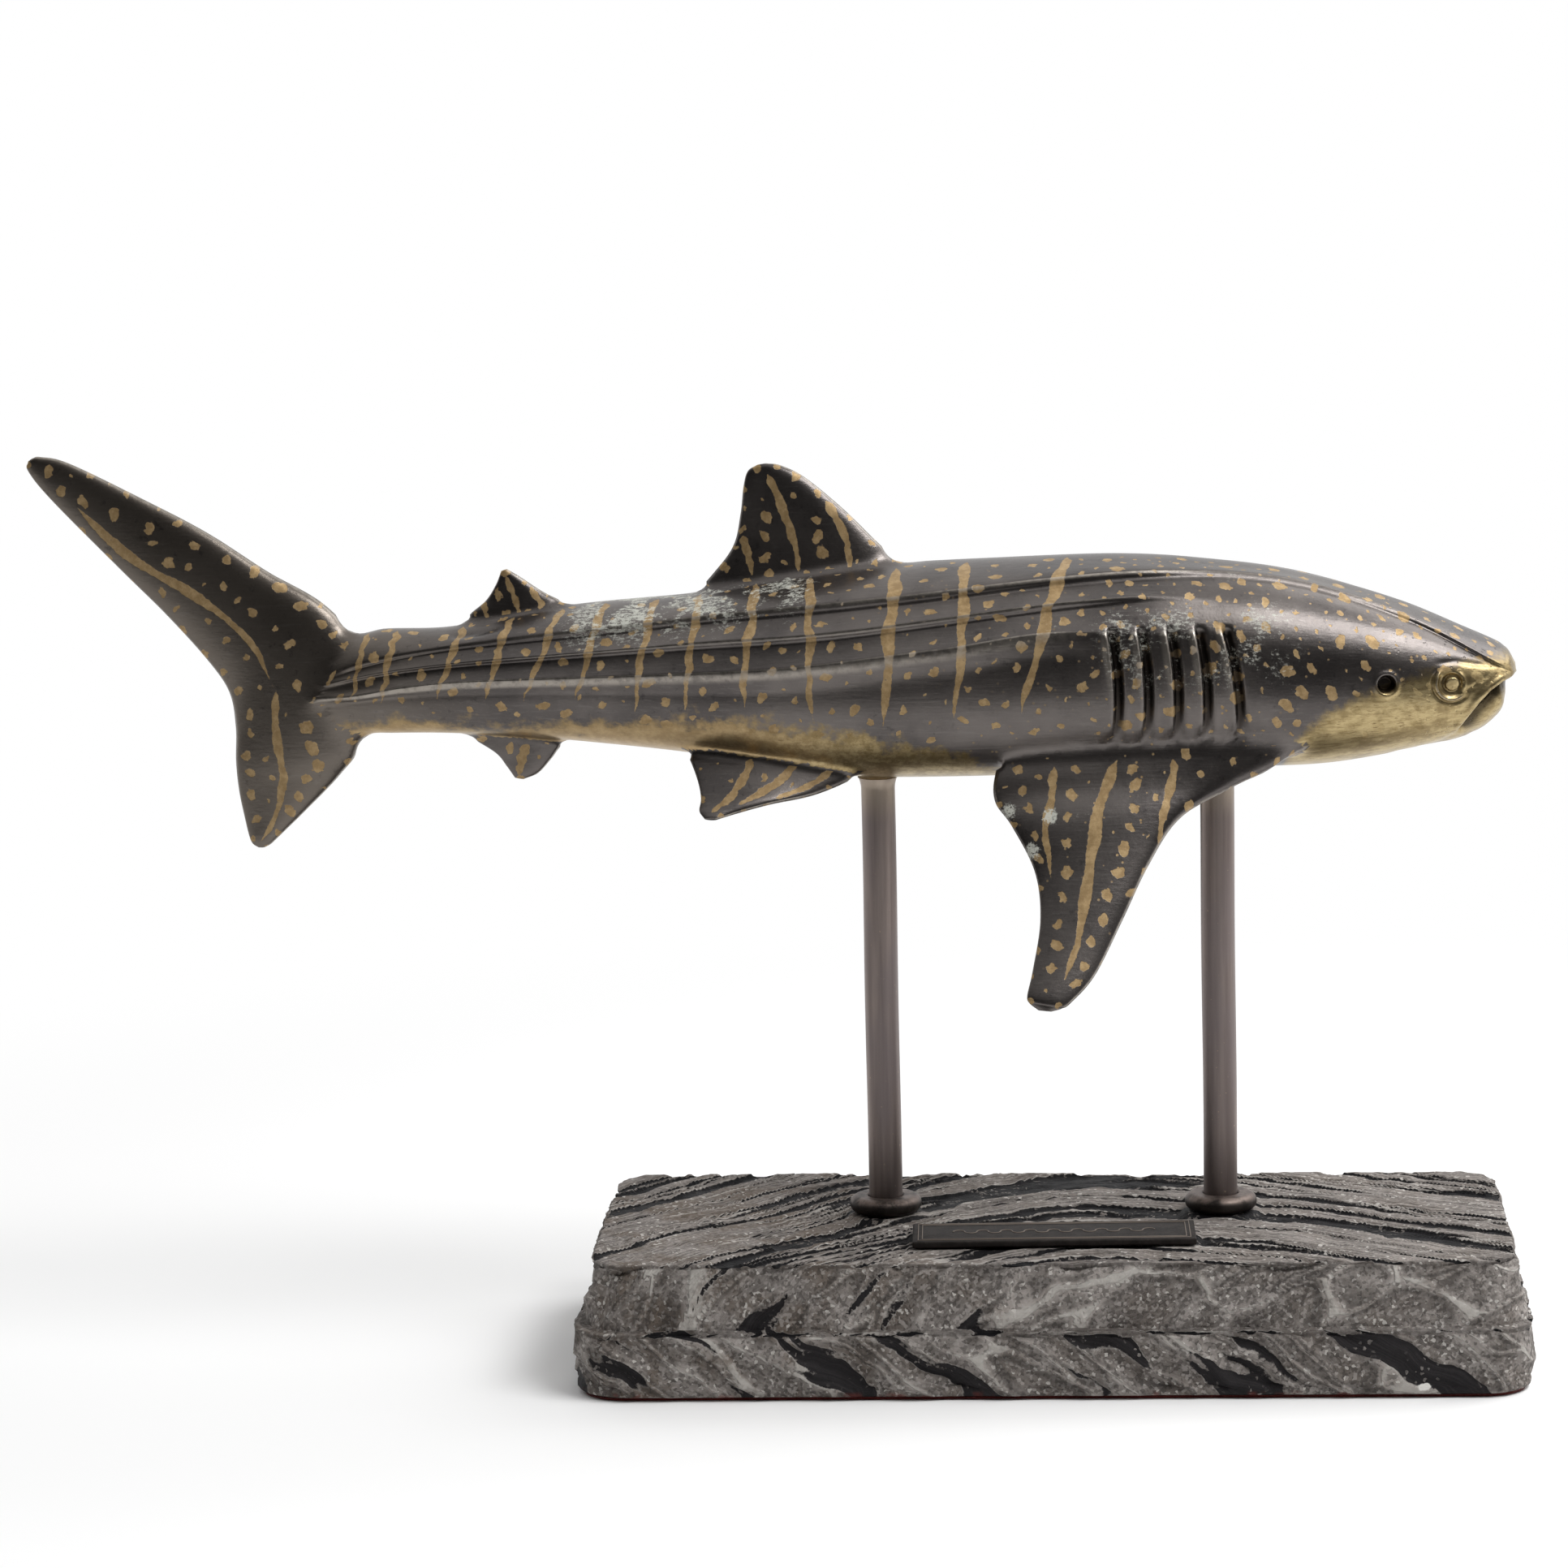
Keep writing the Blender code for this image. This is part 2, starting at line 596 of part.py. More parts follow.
def make_plaque(parts, material):
    bm = bmesh.new()
    bmesh.ops.create_cube(bm, size=1.0)
    bmesh.ops.scale(bm, vec=(PLAQUE_LENGTH, PLAQUE_DEPTH, PLAQUE_THICKNESS), verts=bm.verts)
    mesh = bpy.data.meshes.new("plaque")
    bm.to_mesh(mesh)
    bm.free()
    plaque = add_object("plaque", mesh, parts, material)
    bevel = plaque.modifiers.new("worn edges", "BEVEL")
    bevel.width = PLAQUE_BEVEL
    bevel.segments = 2
    front = -PLINTH_DEPTH / 2 + STEP_WIDTH + UPPER_BATTER
    plaque.location = (
        PLAQUE_OFF_CENTRE,
        front + PLAQUE_FROM_EDGE + PLAQUE_DEPTH / 2,
        STONE_TOP + CLEARANCE + PLAQUE_THICKNESS / 2,
    )
    plaque.rotation_euler = (0, 0, PLAQUE_TURN)
    return plaque


def make_felt(collection, material):
    """A thin sheet of the underside's outline, set in from its edge."""
    length, depth = PLINTH_LENGTH - 2 * FELT_INSET, PLINTH_DEPTH - 2 * FELT_INSET
    bm = bmesh.new()
    bmesh.ops.create_cube(bm, size=1.0)
    for vert in bm.verts:
        x, y = math.copysign(length / 2, vert.co.x), math.copysign(depth / 2, vert.co.y)
        if x > 0 and y > 0:
            y -= REAR_SKEW
        vert.co = (x, y, FELT_THICKNESS if vert.co.z > 0 else 0.0)
    upright = [edge for edge in bm.edges if abs(edge.verts[0].co.z - edge.verts[1].co.z) > FELT_THICKNESS / 2]
    radius = CORNER_RADIUS - FELT_INSET
    bmesh.ops.bevel(bm, geom=upright, offset=radius, offset_type="WIDTH", segments=6, profile=0.5, affect="EDGES")
    mesh = bpy.data.meshes.new("felt_pad")
    bm.to_mesh(mesh)
    bm.free()
    return add_object("felt_pad", mesh, collection, material)


def main():
    clear_scene()
    parts = new_collection("shark_figurine")
    cutters = new_collection("cutters")
    patina = finish_of("dark_bronze_patina", (0.060, 0.050, 0.044), 0.38, 0.9)
    rod = finish_of("brown_bronze_rod", (0.16, 0.12, 0.10), 0.40, 0.9)
    dark = finish_of("dark_bronze_fittings", (0.045, 0.038, 0.034), 0.42, 0.8)
    stone = finish_of("veined_grey_stone", (0.20, 0.18, 0.17), 0.75, 0.0)
    steel = finish_of("plated_steel", (0.55, 0.55, 0.54), 0.35, 1.0)
    felt = finish_of("red_felt", (0.25, 0.04, 0.03), 0.95, 0.0)
    make_shark(parts, cutters, patina)
    for word, x in POST_PLACES.items():
        make_post(word, x, parts, rod)
        make_collar(word, x, parts, dark)
        make_washer(word, x, parts, steel)
        make_nut(word, x, parts, cutters, steel)
    make_plinth(parts, cutters, stone)
    make_plaque(parts, dark)
    make_felt(parts, felt)


main()
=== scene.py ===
"""Looks of a bronze whale shark on two posts and a veined stone plinth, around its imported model."""
import json
import math
import random

import bmesh
import bpy
import numpy as np
from mathutils import Matrix, Vector, kdtree, noise

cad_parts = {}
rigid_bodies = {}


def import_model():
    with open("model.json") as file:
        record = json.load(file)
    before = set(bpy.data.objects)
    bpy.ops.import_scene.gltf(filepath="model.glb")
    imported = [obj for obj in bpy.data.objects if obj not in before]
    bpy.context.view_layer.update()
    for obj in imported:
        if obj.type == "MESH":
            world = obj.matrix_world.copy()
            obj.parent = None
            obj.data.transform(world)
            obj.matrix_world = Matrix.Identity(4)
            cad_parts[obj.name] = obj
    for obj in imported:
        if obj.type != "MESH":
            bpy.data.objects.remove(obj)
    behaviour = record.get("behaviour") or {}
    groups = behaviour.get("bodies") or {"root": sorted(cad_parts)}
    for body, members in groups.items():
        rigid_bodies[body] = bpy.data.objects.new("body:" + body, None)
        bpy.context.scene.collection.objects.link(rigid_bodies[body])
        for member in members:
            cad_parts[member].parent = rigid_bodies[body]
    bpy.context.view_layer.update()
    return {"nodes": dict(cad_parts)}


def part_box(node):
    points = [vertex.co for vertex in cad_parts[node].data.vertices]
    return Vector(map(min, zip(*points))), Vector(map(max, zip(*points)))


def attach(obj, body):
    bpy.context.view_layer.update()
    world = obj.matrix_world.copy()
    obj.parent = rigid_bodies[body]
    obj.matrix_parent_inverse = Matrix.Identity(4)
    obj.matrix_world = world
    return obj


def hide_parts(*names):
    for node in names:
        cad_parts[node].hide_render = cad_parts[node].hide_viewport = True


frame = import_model()


# Camera, light and floor. The camera looks down a little from the front, a long way off. A soft box
# stands behind the piece on the right and a stronger one in front on the right, the room is white
# behind and above and dark in front, and the piece stands on white paper.
class Value:
    """A node's output that takes part in Python arithmetic, each step of which adds a Math node."""

    def __init__(self, graph, socket):
        self.graph, self.socket = graph, socket

    def maths(self, operation, *others):
        sockets = dict(enumerate([self, *others]))
        return self.graph.node("ShaderNodeMath", {"operation": operation}, sockets)

    def __add__(self, other):
        return self.maths("ADD", other)

    def __sub__(self, other):
        return self.maths("SUBTRACT", other)

    def __mul__(self, other):
        return self.maths("MULTIPLY", other)

    def __truediv__(self, other):
        return self.maths("DIVIDE", other)

    def __rsub__(self, other):
        return self.maths("MULTIPLY", -1.0).maths("ADD", other)

    def __abs__(self):
        return self.maths("ABSOLUTE")

    __radd__ = __add__
    __rmul__ = __mul__


class Graph:
    """A node tree under construction. Every node is made by node(), from its type, settings and sockets."""

    def __init__(self, tree):
        self.tree = tree

    def fill(self, made, sockets):
        """Links each socket to a Value, or sets it to a constant."""
        for key, value in sockets.items():
            if isinstance(value, Value):
                self.tree.links.new(value.socket, made.inputs[key])
            else:
                made.inputs[key].default_value = value

    def node(self, kind, settings=None, sockets=None, out=0):
        made = self.tree.nodes.new(kind)
        for key, value in (settings or {}).items():
            setattr(made, key, value)
        self.fill(made, sockets or {})
        return Value(self, made.outputs[out] if len(made.outputs) else made.inputs[0])

    def mix(self, share, first, second):
        """A colour between two colours."""
        first, second = ((*c, 1.0) if isinstance(c, tuple) else c for c in (first, second))
        return self.node("ShaderNodeMix", {"data_type": "RGBA"}, {0: share, 6: first, 7: second}, out=2)

    def step(self, value, low, high):
        """0 below low, 1 above high, smooth between; low may be the larger."""
        flip = low > high
        low, high = min(low, high), max(low, high)
        settings = {"interpolation_type": "SMOOTHSTEP"}
        result = self.node("ShaderNodeMapRange", settings, {0: value, 1: low, 2: high, 3: 0.0, 4: 1.0})
        return 1 - result if flip else result

    def noise(self, place, size, detail=3.0, roughness=0.5):
        """Noise whose features are about `size` metres, or units of the place's own."""
        sockets = {"Vector": place, "Scale": 1 / size, "Detail": detail, "Roughness": roughness}
        return self.node("ShaderNodeTexNoise", None, sockets)

    def vector(self, operation, first, second):
        return self.node("ShaderNodeVectorMath", {"operation": operation}, {0: first, 1: second})

    def length(self, vector):
        return self.node("ShaderNodeVectorMath", {"operation": "LENGTH"}, {0: vector}, out=1)

    def stretch(self, place, scales, turn=(0.0, 0.0, 0.0)):
        """A place scaled along its axes, so that a pattern on it is drawn out by the inverse."""
        return self.node("ShaderNodeMapping", None, {"Vector": place, "Scale": scales, "Rotation": turn})

    def parts(self, vector):
        """The three numbers of a vector."""
        split = self.node("ShaderNodeSeparateXYZ", None, {0: vector})
        outputs = split.socket.node.outputs
        return [Value(self, outputs[i]) for i in range(3)]

    def attribute(self, name, out=1):
        return self.node("ShaderNodeAttribute", {"attribute_name": name}, None, out)

    def bump(self, height, distance, strength):
        sockets = {"Height": height, "Distance": distance, "Strength": strength}
        return self.node("ShaderNodeBump", None, sockets)


class Finish(Graph):
    """A material made around one Principled shader."""

    def __init__(self, name):
        self.material = bpy.data.materials.new(name)
        self.material.use_nodes = True
        super().__init__(self.material.node_tree)
        self.shader = self.tree.nodes["Principled BSDF"]
        self.place = self.node("ShaderNodeTexCoord", out=3)

    def surface(self, sockets):
        self.fill(self.shader, sockets)
        return self.material


def lone_object(name, mesh, collection=bpy.context.scene.collection):
    """An object of the scene, or of another collection."""
    obj = bpy.data.objects.new(name, mesh)
    collection.objects.link(obj)
    return obj


def camera_ray_share(graph, ahead, limit):
    """Camera rays, and these with the mirrored rays that look ahead, in full beyond a limit."""
    rays = graph.node("ShaderNodeLightPath").socket.node.outputs
    seen, mirrored = Value(graph, rays["Is Camera Ray"]), Value(graph, rays["Is Glossy Ray"])
    return seen, seen.maths("MAXIMUM", mirrored * graph.step(ahead, 0.0, limit))


PICTURE_SIDE = 1932
FOCAL_PIXELS = 7000
SENSOR_WIDTH = 36.0
CAMERA_PLACE = (0.0311, -2.0955, 0.559)
CAMERA_TURN, CAMERA_DOWN, CAMERA_LEAN = (math.radians(a) for a in (3.534, 9.262, 1.258))

camera_data = bpy.data.cameras.new("camera")
camera_data.sensor_width = SENSOR_WIDTH
camera_data.lens = SENSOR_WIDTH * FOCAL_PIXELS / PICTURE_SIDE
camera_data.clip_end = 200
camera = lone_object("camera", camera_data)
turn = Matrix.Rotation(CAMERA_TURN, 4, "Z") @ Matrix.Rotation(math.pi / 2 - CAMERA_DOWN, 4, "X")
camera.matrix_world = Matrix.Translation(CAMERA_PLACE) @ turn @ Matrix.Rotation(-CAMERA_LEAN, 4, "Z")
bpy.context.scene.camera = camera
bpy.context.scene.view_settings.view_transform = "Standard"


def add_lamp(name, place, target, size, power):
    lamp = bpy.data.lights.new(name, "AREA")
    lamp.shape = "RECTANGLE"
    lamp.size, lamp.size_y = size
    lamp.energy = power
    holder = lone_object(name, lamp)
    holder.location = place
    holder.rotation_euler = (Vector(target) - Vector(place)).to_track_quat("-Z", "Y").to_euler()


add_lamp("rear_softbox", (0.80, 0.50, 1.05), (0.0, 0.0, 0.1), (1.0, 0.8), 7.0)
add_lamp("top_softbox", (0.74, -0.52, 1.36), (0.0, 0.0, 0.15), (0.9, 0.5), 15.0)

world = bpy.data.worlds.new("studio")
world.use_nodes = True
bpy.context.scene.world = world
studio = Graph(world.node_tree)
direction = studio.parts(studio.node("ShaderNodeTexCoord", out=0))
ROOM_DARKEST, ROOM_RANGE = 0.04, 0.82
upward = direction[2] + 0.75 * direction[1] + 0.3 * direction[0]
brightness = studio.step(upward, -0.30, 0.95) * ROOM_RANGE + ROOM_DARKEST
_, shown = camera_ray_share(studio, direction[1], 0.3)
strength = shown + (1 - shown) * brightness
background = world.node_tree.nodes["Background"]
background.inputs["Color"].default_value = (1, 1, 1, 1)
world.node_tree.links.new(strength.socket, background.inputs["Strength"])

FLOOR_REACH = 60.0
floor_mesh = bpy.data.meshes.new("floor")
corners = [(-1, -1), (1, -1), (1, 1), (-1, 1)]
floor_mesh.from_pydata([(x * FLOOR_REACH, y * FLOOR_REACH, 0.0) for x, y in corners], [], [(0, 1, 2, 3)])
floor = lone_object("floor", floor_mesh)
paper = Finish("white_floor")
depth = paper.parts(paper.place)[1]
seen, shown = camera_ray_share(paper, depth, 0.25)
# The white paper ends a little way in front, which the bronze mirrors and the camera doesn't see.
ended = paper.step(depth, -0.42, -0.85) * (1 - seen)
sheet_colour = paper.mix(ended, (0.93, 0.93, 0.93), (0.10, 0.10, 0.10))
paper.surface({"Base Color": sheet_colour, "Roughness": 0.9, "Specular IOR Level": 0.1})
glow = paper.node("ShaderNodeEmission", None, {"Color": (1, 1, 1, 1), "Strength": 1.0})
far = paper.step(paper.length(paper.place), 0.35, 0.85) * shown
mixed = paper.node("ShaderNodeMixShader", None, {0: far, 2: glow})
paper.tree.links.new(paper.shader.outputs[0], mixed.socket.node.inputs[1])
paper.tree.links.new(mixed.socket, paper.tree.nodes["Material Output"].inputs["Surface"])
floor_mesh.materials.append(paper.material)


# Shark. A lost-wax bronze casting, hollow, with a dark patina. Its stripes and spots are painted
# through the patina in dull gold, and its belly and chin are rubbed bright. Outlines are in
# millimetres: x along the plinth, height above the belly line, which stands over the stone.
MM = 0.001
BELLY_HEIGHT = 0.167
BODY_WIDTH = 80.0
PECTORAL_SPAN = 151.0
post_low, post_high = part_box("front_post")
SHARK_PLACE = np.array([0.0, (post_low.y + post_high.y) / 2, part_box("stone_plinth")[1].z + BELLY_HEIGHT])

# Stations of the body from tail to snout: x, top, bottom, and share of the body's full width.
BODY_STATIONS = np.array([
    (-290, 33.5, 29.5, 0.03),
    (-272, 46, 22, 0.20),
    (-255, 57.5, 19.5, 0.34),
    (-222, 59, 19, 0.49),
    (-178, 66.5, 16, 0.63),
    (-131, 70.5, 10.5, 0.77),
    (-69, 79.5, 1, 0.93),
    (21, 83, 2, 1.00),
    (66, 80, 3, 0.96),
    (103, 73, 4, 0.875),
    (133, 63.5, 8.5, 0.77),
    (156, 53.5, 14, 0.65),
    (167, 48.5, 21.5, 0.54),
    (170, 46.5, 28, 0.46),
    (172, 44.5, 33.5, 0.37),
    (174.3, 40, 37, 0.12),
])
# The three ridges of each flank, from the back down, as (x, height).
UPPER_RIDGE = [
    (-290, 33), (-240, 50), (-140, 62), (-57, 70), (30, 77.8), (87, 74.3), (132, 60.4), (174, 38.2),
]
MIDDLE_RIDGE = [
    (-290, 32.5), (-240, 45), (-140, 54), (-77, 58.7), (14, 69), (60, 69), (132, 55), (174, 37.6),
]
KEEL_RIDGE = [
    (-290, 31.5), (-261, 35), (-218, 41), (-107, 45.5), (-40, 52.6), (22, 58.7), (132, 46), (174, 37),
]
# How strongly each ridge stands out along the body.
UPPER_SHARE = [(-290, 0.2), (-230, 0.6), (-140, 1.0), (20, 1.0), (60, 0.75), (150, 0.55), (172, 0.2)]
MIDDLE_SHARE = [(-290, 0.2), (-230, 0.6), (-140, 1.0), (5, 1.0), (45, 0.25), (70, 0.0)]
KEEL_SHARE = [(-290, 0.5), (-240, 1.3), (-140, 1.1), (-10, 1.0), (28, 0.2), (40, 0.0)]
RIDGE_PROUD = 1.5
BODY_SQUARENESS = 2.25


def smooth_curve(keys, count):
    """Points of a smooth curve through the keys, evenly spread over the key numbers."""
    keys = np.asarray(keys, float)
    ends = np.vstack([2 * keys[0] - keys[1], keys, 2 * keys[-1] - keys[-2]])
    places = np.linspace(0, len(keys) - 1, count)
    first = np.minimum(places.astype(int), len(keys) - 2)
    t = (places - first)[:, None]
    a, b, c, d = (ends[first + i] for i in range(4))
    return 0.5 * (2 * b + (c - a) * t + (2 * a - 5 * b + 4 * c - d) * t**2 + (3 * b - a - 3 * c + d) * t**3)


def body_curve(column, x):
    fine = smooth_curve(BODY_STATIONS[:, [0, column]], 900)
    return np.interp(x, fine[:, 0], fine[:, 1])


def table_at(table, x):
    fine = smooth_curve(table, 300)
    return np.interp(x, fine[:, 0], fine[:, 1])


def flank_angle(x, height):
    """The angle on the section, from -90 degrees at the belly to 90 at the back, at a height."""
    top, bottom = body_curve(1, x), body_curve(2, x)
    share = np.clip((2 * height - top - bottom) / (top - bottom), -0.999, 0.999)
    return np.sign(share) * np.arcsin(np.abs(share) ** (BODY_SQUARENESS / 2))


def body_point(x, angle):
    """Half breadth and height of the plain section at an angle."""
    top, bottom, share = (body_curve(i, x) for i in (1, 2, 3))
    power = 2 / BODY_SQUARENESS
    across = share * BODY_WIDTH / 2 * np.abs(np.cos(angle)) ** power
    up = (top - bottom) / 2 * np.sign(angle) * np.abs(np.sin(angle)) ** power
    return across, (top + bottom) / 2 + up


def smooth_step(value, low, high):
    t = np.clip((value - low) / (high - low), 0, 1)
    return t * t * (3 - 2 * t)


def bell(value, middle, width):
    return np.exp(-(((value - middle) / width) ** 2))


# Points across each panel between two ridges, and from the lowest one to the belly.
PANEL_COUNTS = (13, 13, 13, 39)


def body_rings(places):
    """Rings of points, their girth from the back in millimetres, and how near each is to a crest."""
    x = np.asarray(places)[:, None]
    angles = [np.full_like(x, math.pi / 2)]
    angles += [flank_angle(x, table_at(ridge, x)) for ridge in (UPPER_RIDGE, MIDDLE_RIDGE, KEEL_RIDGE)]
    angles.append(np.full_like(x, -math.pi / 2))
    shares = [np.zeros_like(x)]
    shares += [table_at(share, x) for share in (UPPER_SHARE, MIDDLE_SHARE, KEEL_SHARE)]
    shares.append(np.zeros_like(x))
    columns, proud, crest = [], [], []
    for number, count in enumerate(PANEL_COUNTS):
        part = np.linspace(0, 1, count + 1)[None, :-1]
        if number == 3:
            part = part**1.35
        columns.append(angles[number] + (angles[number + 1] - angles[number]) * part)
        above, below = shares[number], shares[number + 1]
        start, end = 1 - smooth_step(part, 0.0, 0.13), np.clip((part - 0.1) / 0.9, 0, 1) ** 2.2
        hollow = -0.75 * smooth_step(part, 0.0, 0.13) * (above + (below - above) * part)
        hollow = hollow * (1 - smooth_step(part, 0.35, 0.95)) if number in (0, 3) else hollow
        proud.append(above * start + below * end * 1.75 * (0.57 if number == 0 else 1.0) + hollow)
        crest.append(above * bell(part, 0, 0.07) + below * bell(part, 1, 0.05))
    columns.append(angles[-1])
    proud.append(np.zeros_like(x))
    crest.append(np.zeros_like(x))
    angle, proud, crest = (np.concatenate(parts, axis=1) for parts in (columns, proud, crest))
    across, up = body_point(x, angle)
    stand = proud * RIDGE_PROUD
    across = across + stand * np.cos(angle) * (across > 0.01)
    up = up + stand * np.sin(angle) * (across > 0.01)
    across[:, 0] = across[:, -1] = 0
    girth = np.zeros_like(across)
    girth[:, 1:] = np.cumsum(np.hypot(np.diff(across, axis=1), np.diff(up, axis=1)), axis=1)
    x = np.broadcast_to(x, across.shape)
    near = np.stack([x, -across, up], -1)
    far = np.stack([x, across, up], -1)[:, -2:0:-1]
    both = [np.concatenate([values, values[:, -2:0:-1]], axis=1) for values in (girth, crest)]
    return np.concatenate([near, far], axis=1), *both


def outward_mesh(name, points, faces):
    """A mesh whose faces all look outwards."""
    mesh = bpy.data.meshes.new(name)
    mesh.from_pydata(points, [], faces)
    bm = bmesh.new()
    bm.from_mesh(mesh)
    bmesh.ops.recalc_face_normals(bm, faces=bm.faces)
    bm.to_mesh(mesh)
    bm.free()
    return mesh


def loft(name, rings, tips):
    """A closed mesh through rings of points, with a fan to each of the two tips."""
    rows, count = rings.shape[:2]
    points = [*rings.reshape(-1, 3), *tips]
    grid = np.arange(rows * count).reshape(rows, count)
    ahead = np.roll(grid, -1, axis=1)
    faces = np.stack([grid[:-1], ahead[:-1], ahead[1:], grid[1:]], -1).reshape(-1, 4).tolist()
    faces += [(b, a, rows * count) for a, b in zip(grid[0].tolist(), ahead[0].tolist())]
    faces += [(a, b, rows * count + 1) for a, b in zip(grid[-1].tolist(), ahead[-1].tolist())]
    return outward_mesh(name, points, faces)


def vertex_array(mesh, what="co"):
    values = np.zeros(len(mesh.vertices) * 3)
    source = mesh.vertices if what == "co" else mesh.vertex_normals
    source.foreach_get("co" if what == "co" else "vector", values)
    return values.reshape(-1, 3)


def store(mesh, name, values, domain="POINT"):
    """Keeps numbers or vectors on the vertices or the face corners, for the material to read."""
    kind = "FLOAT_VECTOR" if values.ndim == 2 else "FLOAT"
    layer = mesh.attributes.get(name) or mesh.attributes.new(name, kind, domain)
    layer.data.foreach_set("vector" if values.ndim == 2 else "value", values.astype(np.float32).ravel())


def fetch(mesh, name, width):
    values = np.zeros(len(mesh.vertices) * width)
    mesh.attributes[name].data.foreach_get("vector" if width == 3 else "value", values)
    return values.reshape(-1, width) if width == 3 else values


def rough(points, size, seed=0.0):
    """Smooth noise from -1 to 1 at each point, with lumps of about `size`."""
    shift = Vector((seed, 2.3 * seed, -1.7 * seed))
    return np.array([noise.noise(Vector(p) / size + shift) for p in points.tolist()])


def line_distance(x, height, line):
    """Signed distance to a line of points on the flank, below it positive, and the part of its length."""
    line = np.asarray(line, float)
    runs = np.hypot(*np.diff(line, axis=0).T)
    starts = np.concatenate([[0], np.cumsum(runs)])
    best, signed, part = np.full(x.shape, 1e9), np.zeros(x.shape), np.zeros(x.shape)
    for number, (a, b) in enumerate(zip(line, line[1:])):
        run = (b - a) / runs[number]
        along = (x - a[0]) * run[0] + (height - a[1]) * run[1]
        low = -1e9 if number == 0 else 0
        high = 1e9 if number == len(runs) - 1 else runs[number]
        held = np.clip(along, low, high)
        clipped = np.clip(along, 0, runs[number])
        away = np.hypot(x - a[0] - clipped * run[0], height - a[1] - clipped * run[1])
        side = (x - a[0]) * run[1] - (height - a[1]) * run[0]
        closer = away < best
        best = np.where(closer, away, best)
        reach = np.minimum(away, np.abs(side) + 1e9 * (held == clipped))
        signed = np.where(closer, np.sign(side) * reach, signed)
        part = np.where(closer, (starts[number] + held) / starts[-1], part)
    return signed, part


GILL_SLITS = [(23.5, 24.5), (34.5, 35.5), (45.2, 46.6), (55.6, 57.5), (65.4, 70.3)]
GILL_TOP, GILL_BOTTOM, GILL_BOW = 59.0, 15.5, 1.9
GILL_DEPTH, GILL_LIP = 2.6, 1.1
EYE_PLACE, SPIRACLE_PLACE = (149.3, 36.6), (125.3, 37.2)
EYE_RADIUS, SPIRACLE_RADIUS, SPIRACLE_DEPTH = 2.55, 3.4, 4.5
MOUTH_LINE = [(151.5, 17.6), (155.5, 23.2), (159.6, 28.6), (164, 33), (168.5, 36), (174, 37.2)]
# Folds, each with its depth and half width: behind the second dorsal fin, above the pectoral fin,
# over the eye, from the eye to the lip, and under the corner of the mouth.
FOLDS = [
    ([(-221, 57), (-212, 58.2), (-203, 60.4)], 1.1, 1.1),
    ([(-17, 5), (0, 7), (13.4, 9.8), (25, 14)], 1.0, 1.5),
    ([(144.2, 44.2), (151, 44.6), (158, 43.2), (165, 42.4)], 0.35, 1.0),
    ([(153.5, 33), (158, 35.5), (163, 39.5)], 0.35, 0.9),
    ([(128, 7.5), (137, 9.5), (146, 12.5), (152, 17)], 0.5, 1.2),
]


def press_folds(total, x, height, folds):
    """Presses folds into the relief, each fading out at its two ends."""
    for line, depth, width in folds:
        d, part = line_distance(x, height, line)
        fade = smooth_step(part, -0.1, 0.15)
        total -= depth * bell(d, 0, width) * fade * (1 - smooth_step(part, 0.85, 1.1))


def gill_relief(x, height):
    t = (GILL_TOP - height) / (GILL_TOP - GILL_BOTTOM)
    window = smooth_step(t, -0.03, 0.04) * (1 - smooth_step(t, 0.93, 1.04))
    total = np.zeros_like(x)
    for above, below in GILL_SLITS:
        middle = above + (below - above) * t + GILL_BOW * np.sin(np.pi * np.clip(t, 0, 1)) ** 0.8
        middle = middle - 3.0 * smooth_step(t, 0.8, 1.05)
        d = x - middle
        lip = smooth_step(d, -7.0, -1.0) ** 1.6 * (1 - smooth_step(d, -0.7, 0.4))
        lip = lip * (0.45 + 0.75 * (1 - smooth_step(t, 0.15, 0.65)))
        groove = smooth_step(d, -0.9, 0.5) * (1 - smooth_step(d, 1.3, 4.4))
        groove = groove * (1 - 0.5 * smooth_step(t, 0.5, 1.0))
        total += window * (GILL_LIP * lip - GILL_DEPTH * groove)
    return total


def head_relief(x, height):
    total = np.zeros_like(x)
    head = smooth_step(x, 112, 118)
    # Mouth: the lower jaw is set in under an overhanging lip, with a slit between them.
    below, part = line_distance(x, height, MOUTH_LINE)
    along = smooth_step(part, -0.02, 0.12)
    total -= 2.3 * along * smooth_step(below, -0.2, 0.5) * (1 - smooth_step(below, 0.8, 8.5))
    total -= 1.3 * along * bell(below, 0.6, 0.55)
    total += 0.5 * along * bell(below, -1.5, 1.3)
    # Spiracle: a drilled hole with a softly raised rim.
    away = np.hypot(x - SPIRACLE_PLACE[0], height - SPIRACLE_PLACE[1])
    total -= SPIRACLE_DEPTH * (1 - smooth_step(away, SPIRACLE_RADIUS - 1.0, SPIRACLE_RADIUS + 0.15))
    total += 0.35 * bell(away, SPIRACLE_RADIUS + 0.9, 0.8)
    # Eye: a groove round the disc, a heavy lid fold behind and below it and a light one in front.
    across, up = x - EYE_PLACE[0], height - EYE_PLACE[1]
    away, bearing = np.hypot(across, up), np.degrees(np.arctan2(up, across)) % 360
    behind = smooth_step(bearing, 120, 165) * (1 - smooth_step(bearing, 300, 330))
    ahead = 1 - smooth_step(np.minimum(bearing, 360 - bearing), 30, 60)
    total -= 1.1 * bell(away, EYE_RADIUS + 0.65, 0.6)
    total += 0.9 * behind * bell(away, 5.9, 0.7) - 0.75 * behind * bell(away, 7.1, 0.55)
    total += 0.4 * ahead * bell(away, 4.7, 0.6) - 0.6 * behind * bell(away, 4.5, 0.6)
    press_folds(total, x, height, FOLDS[2:])
    return total * head


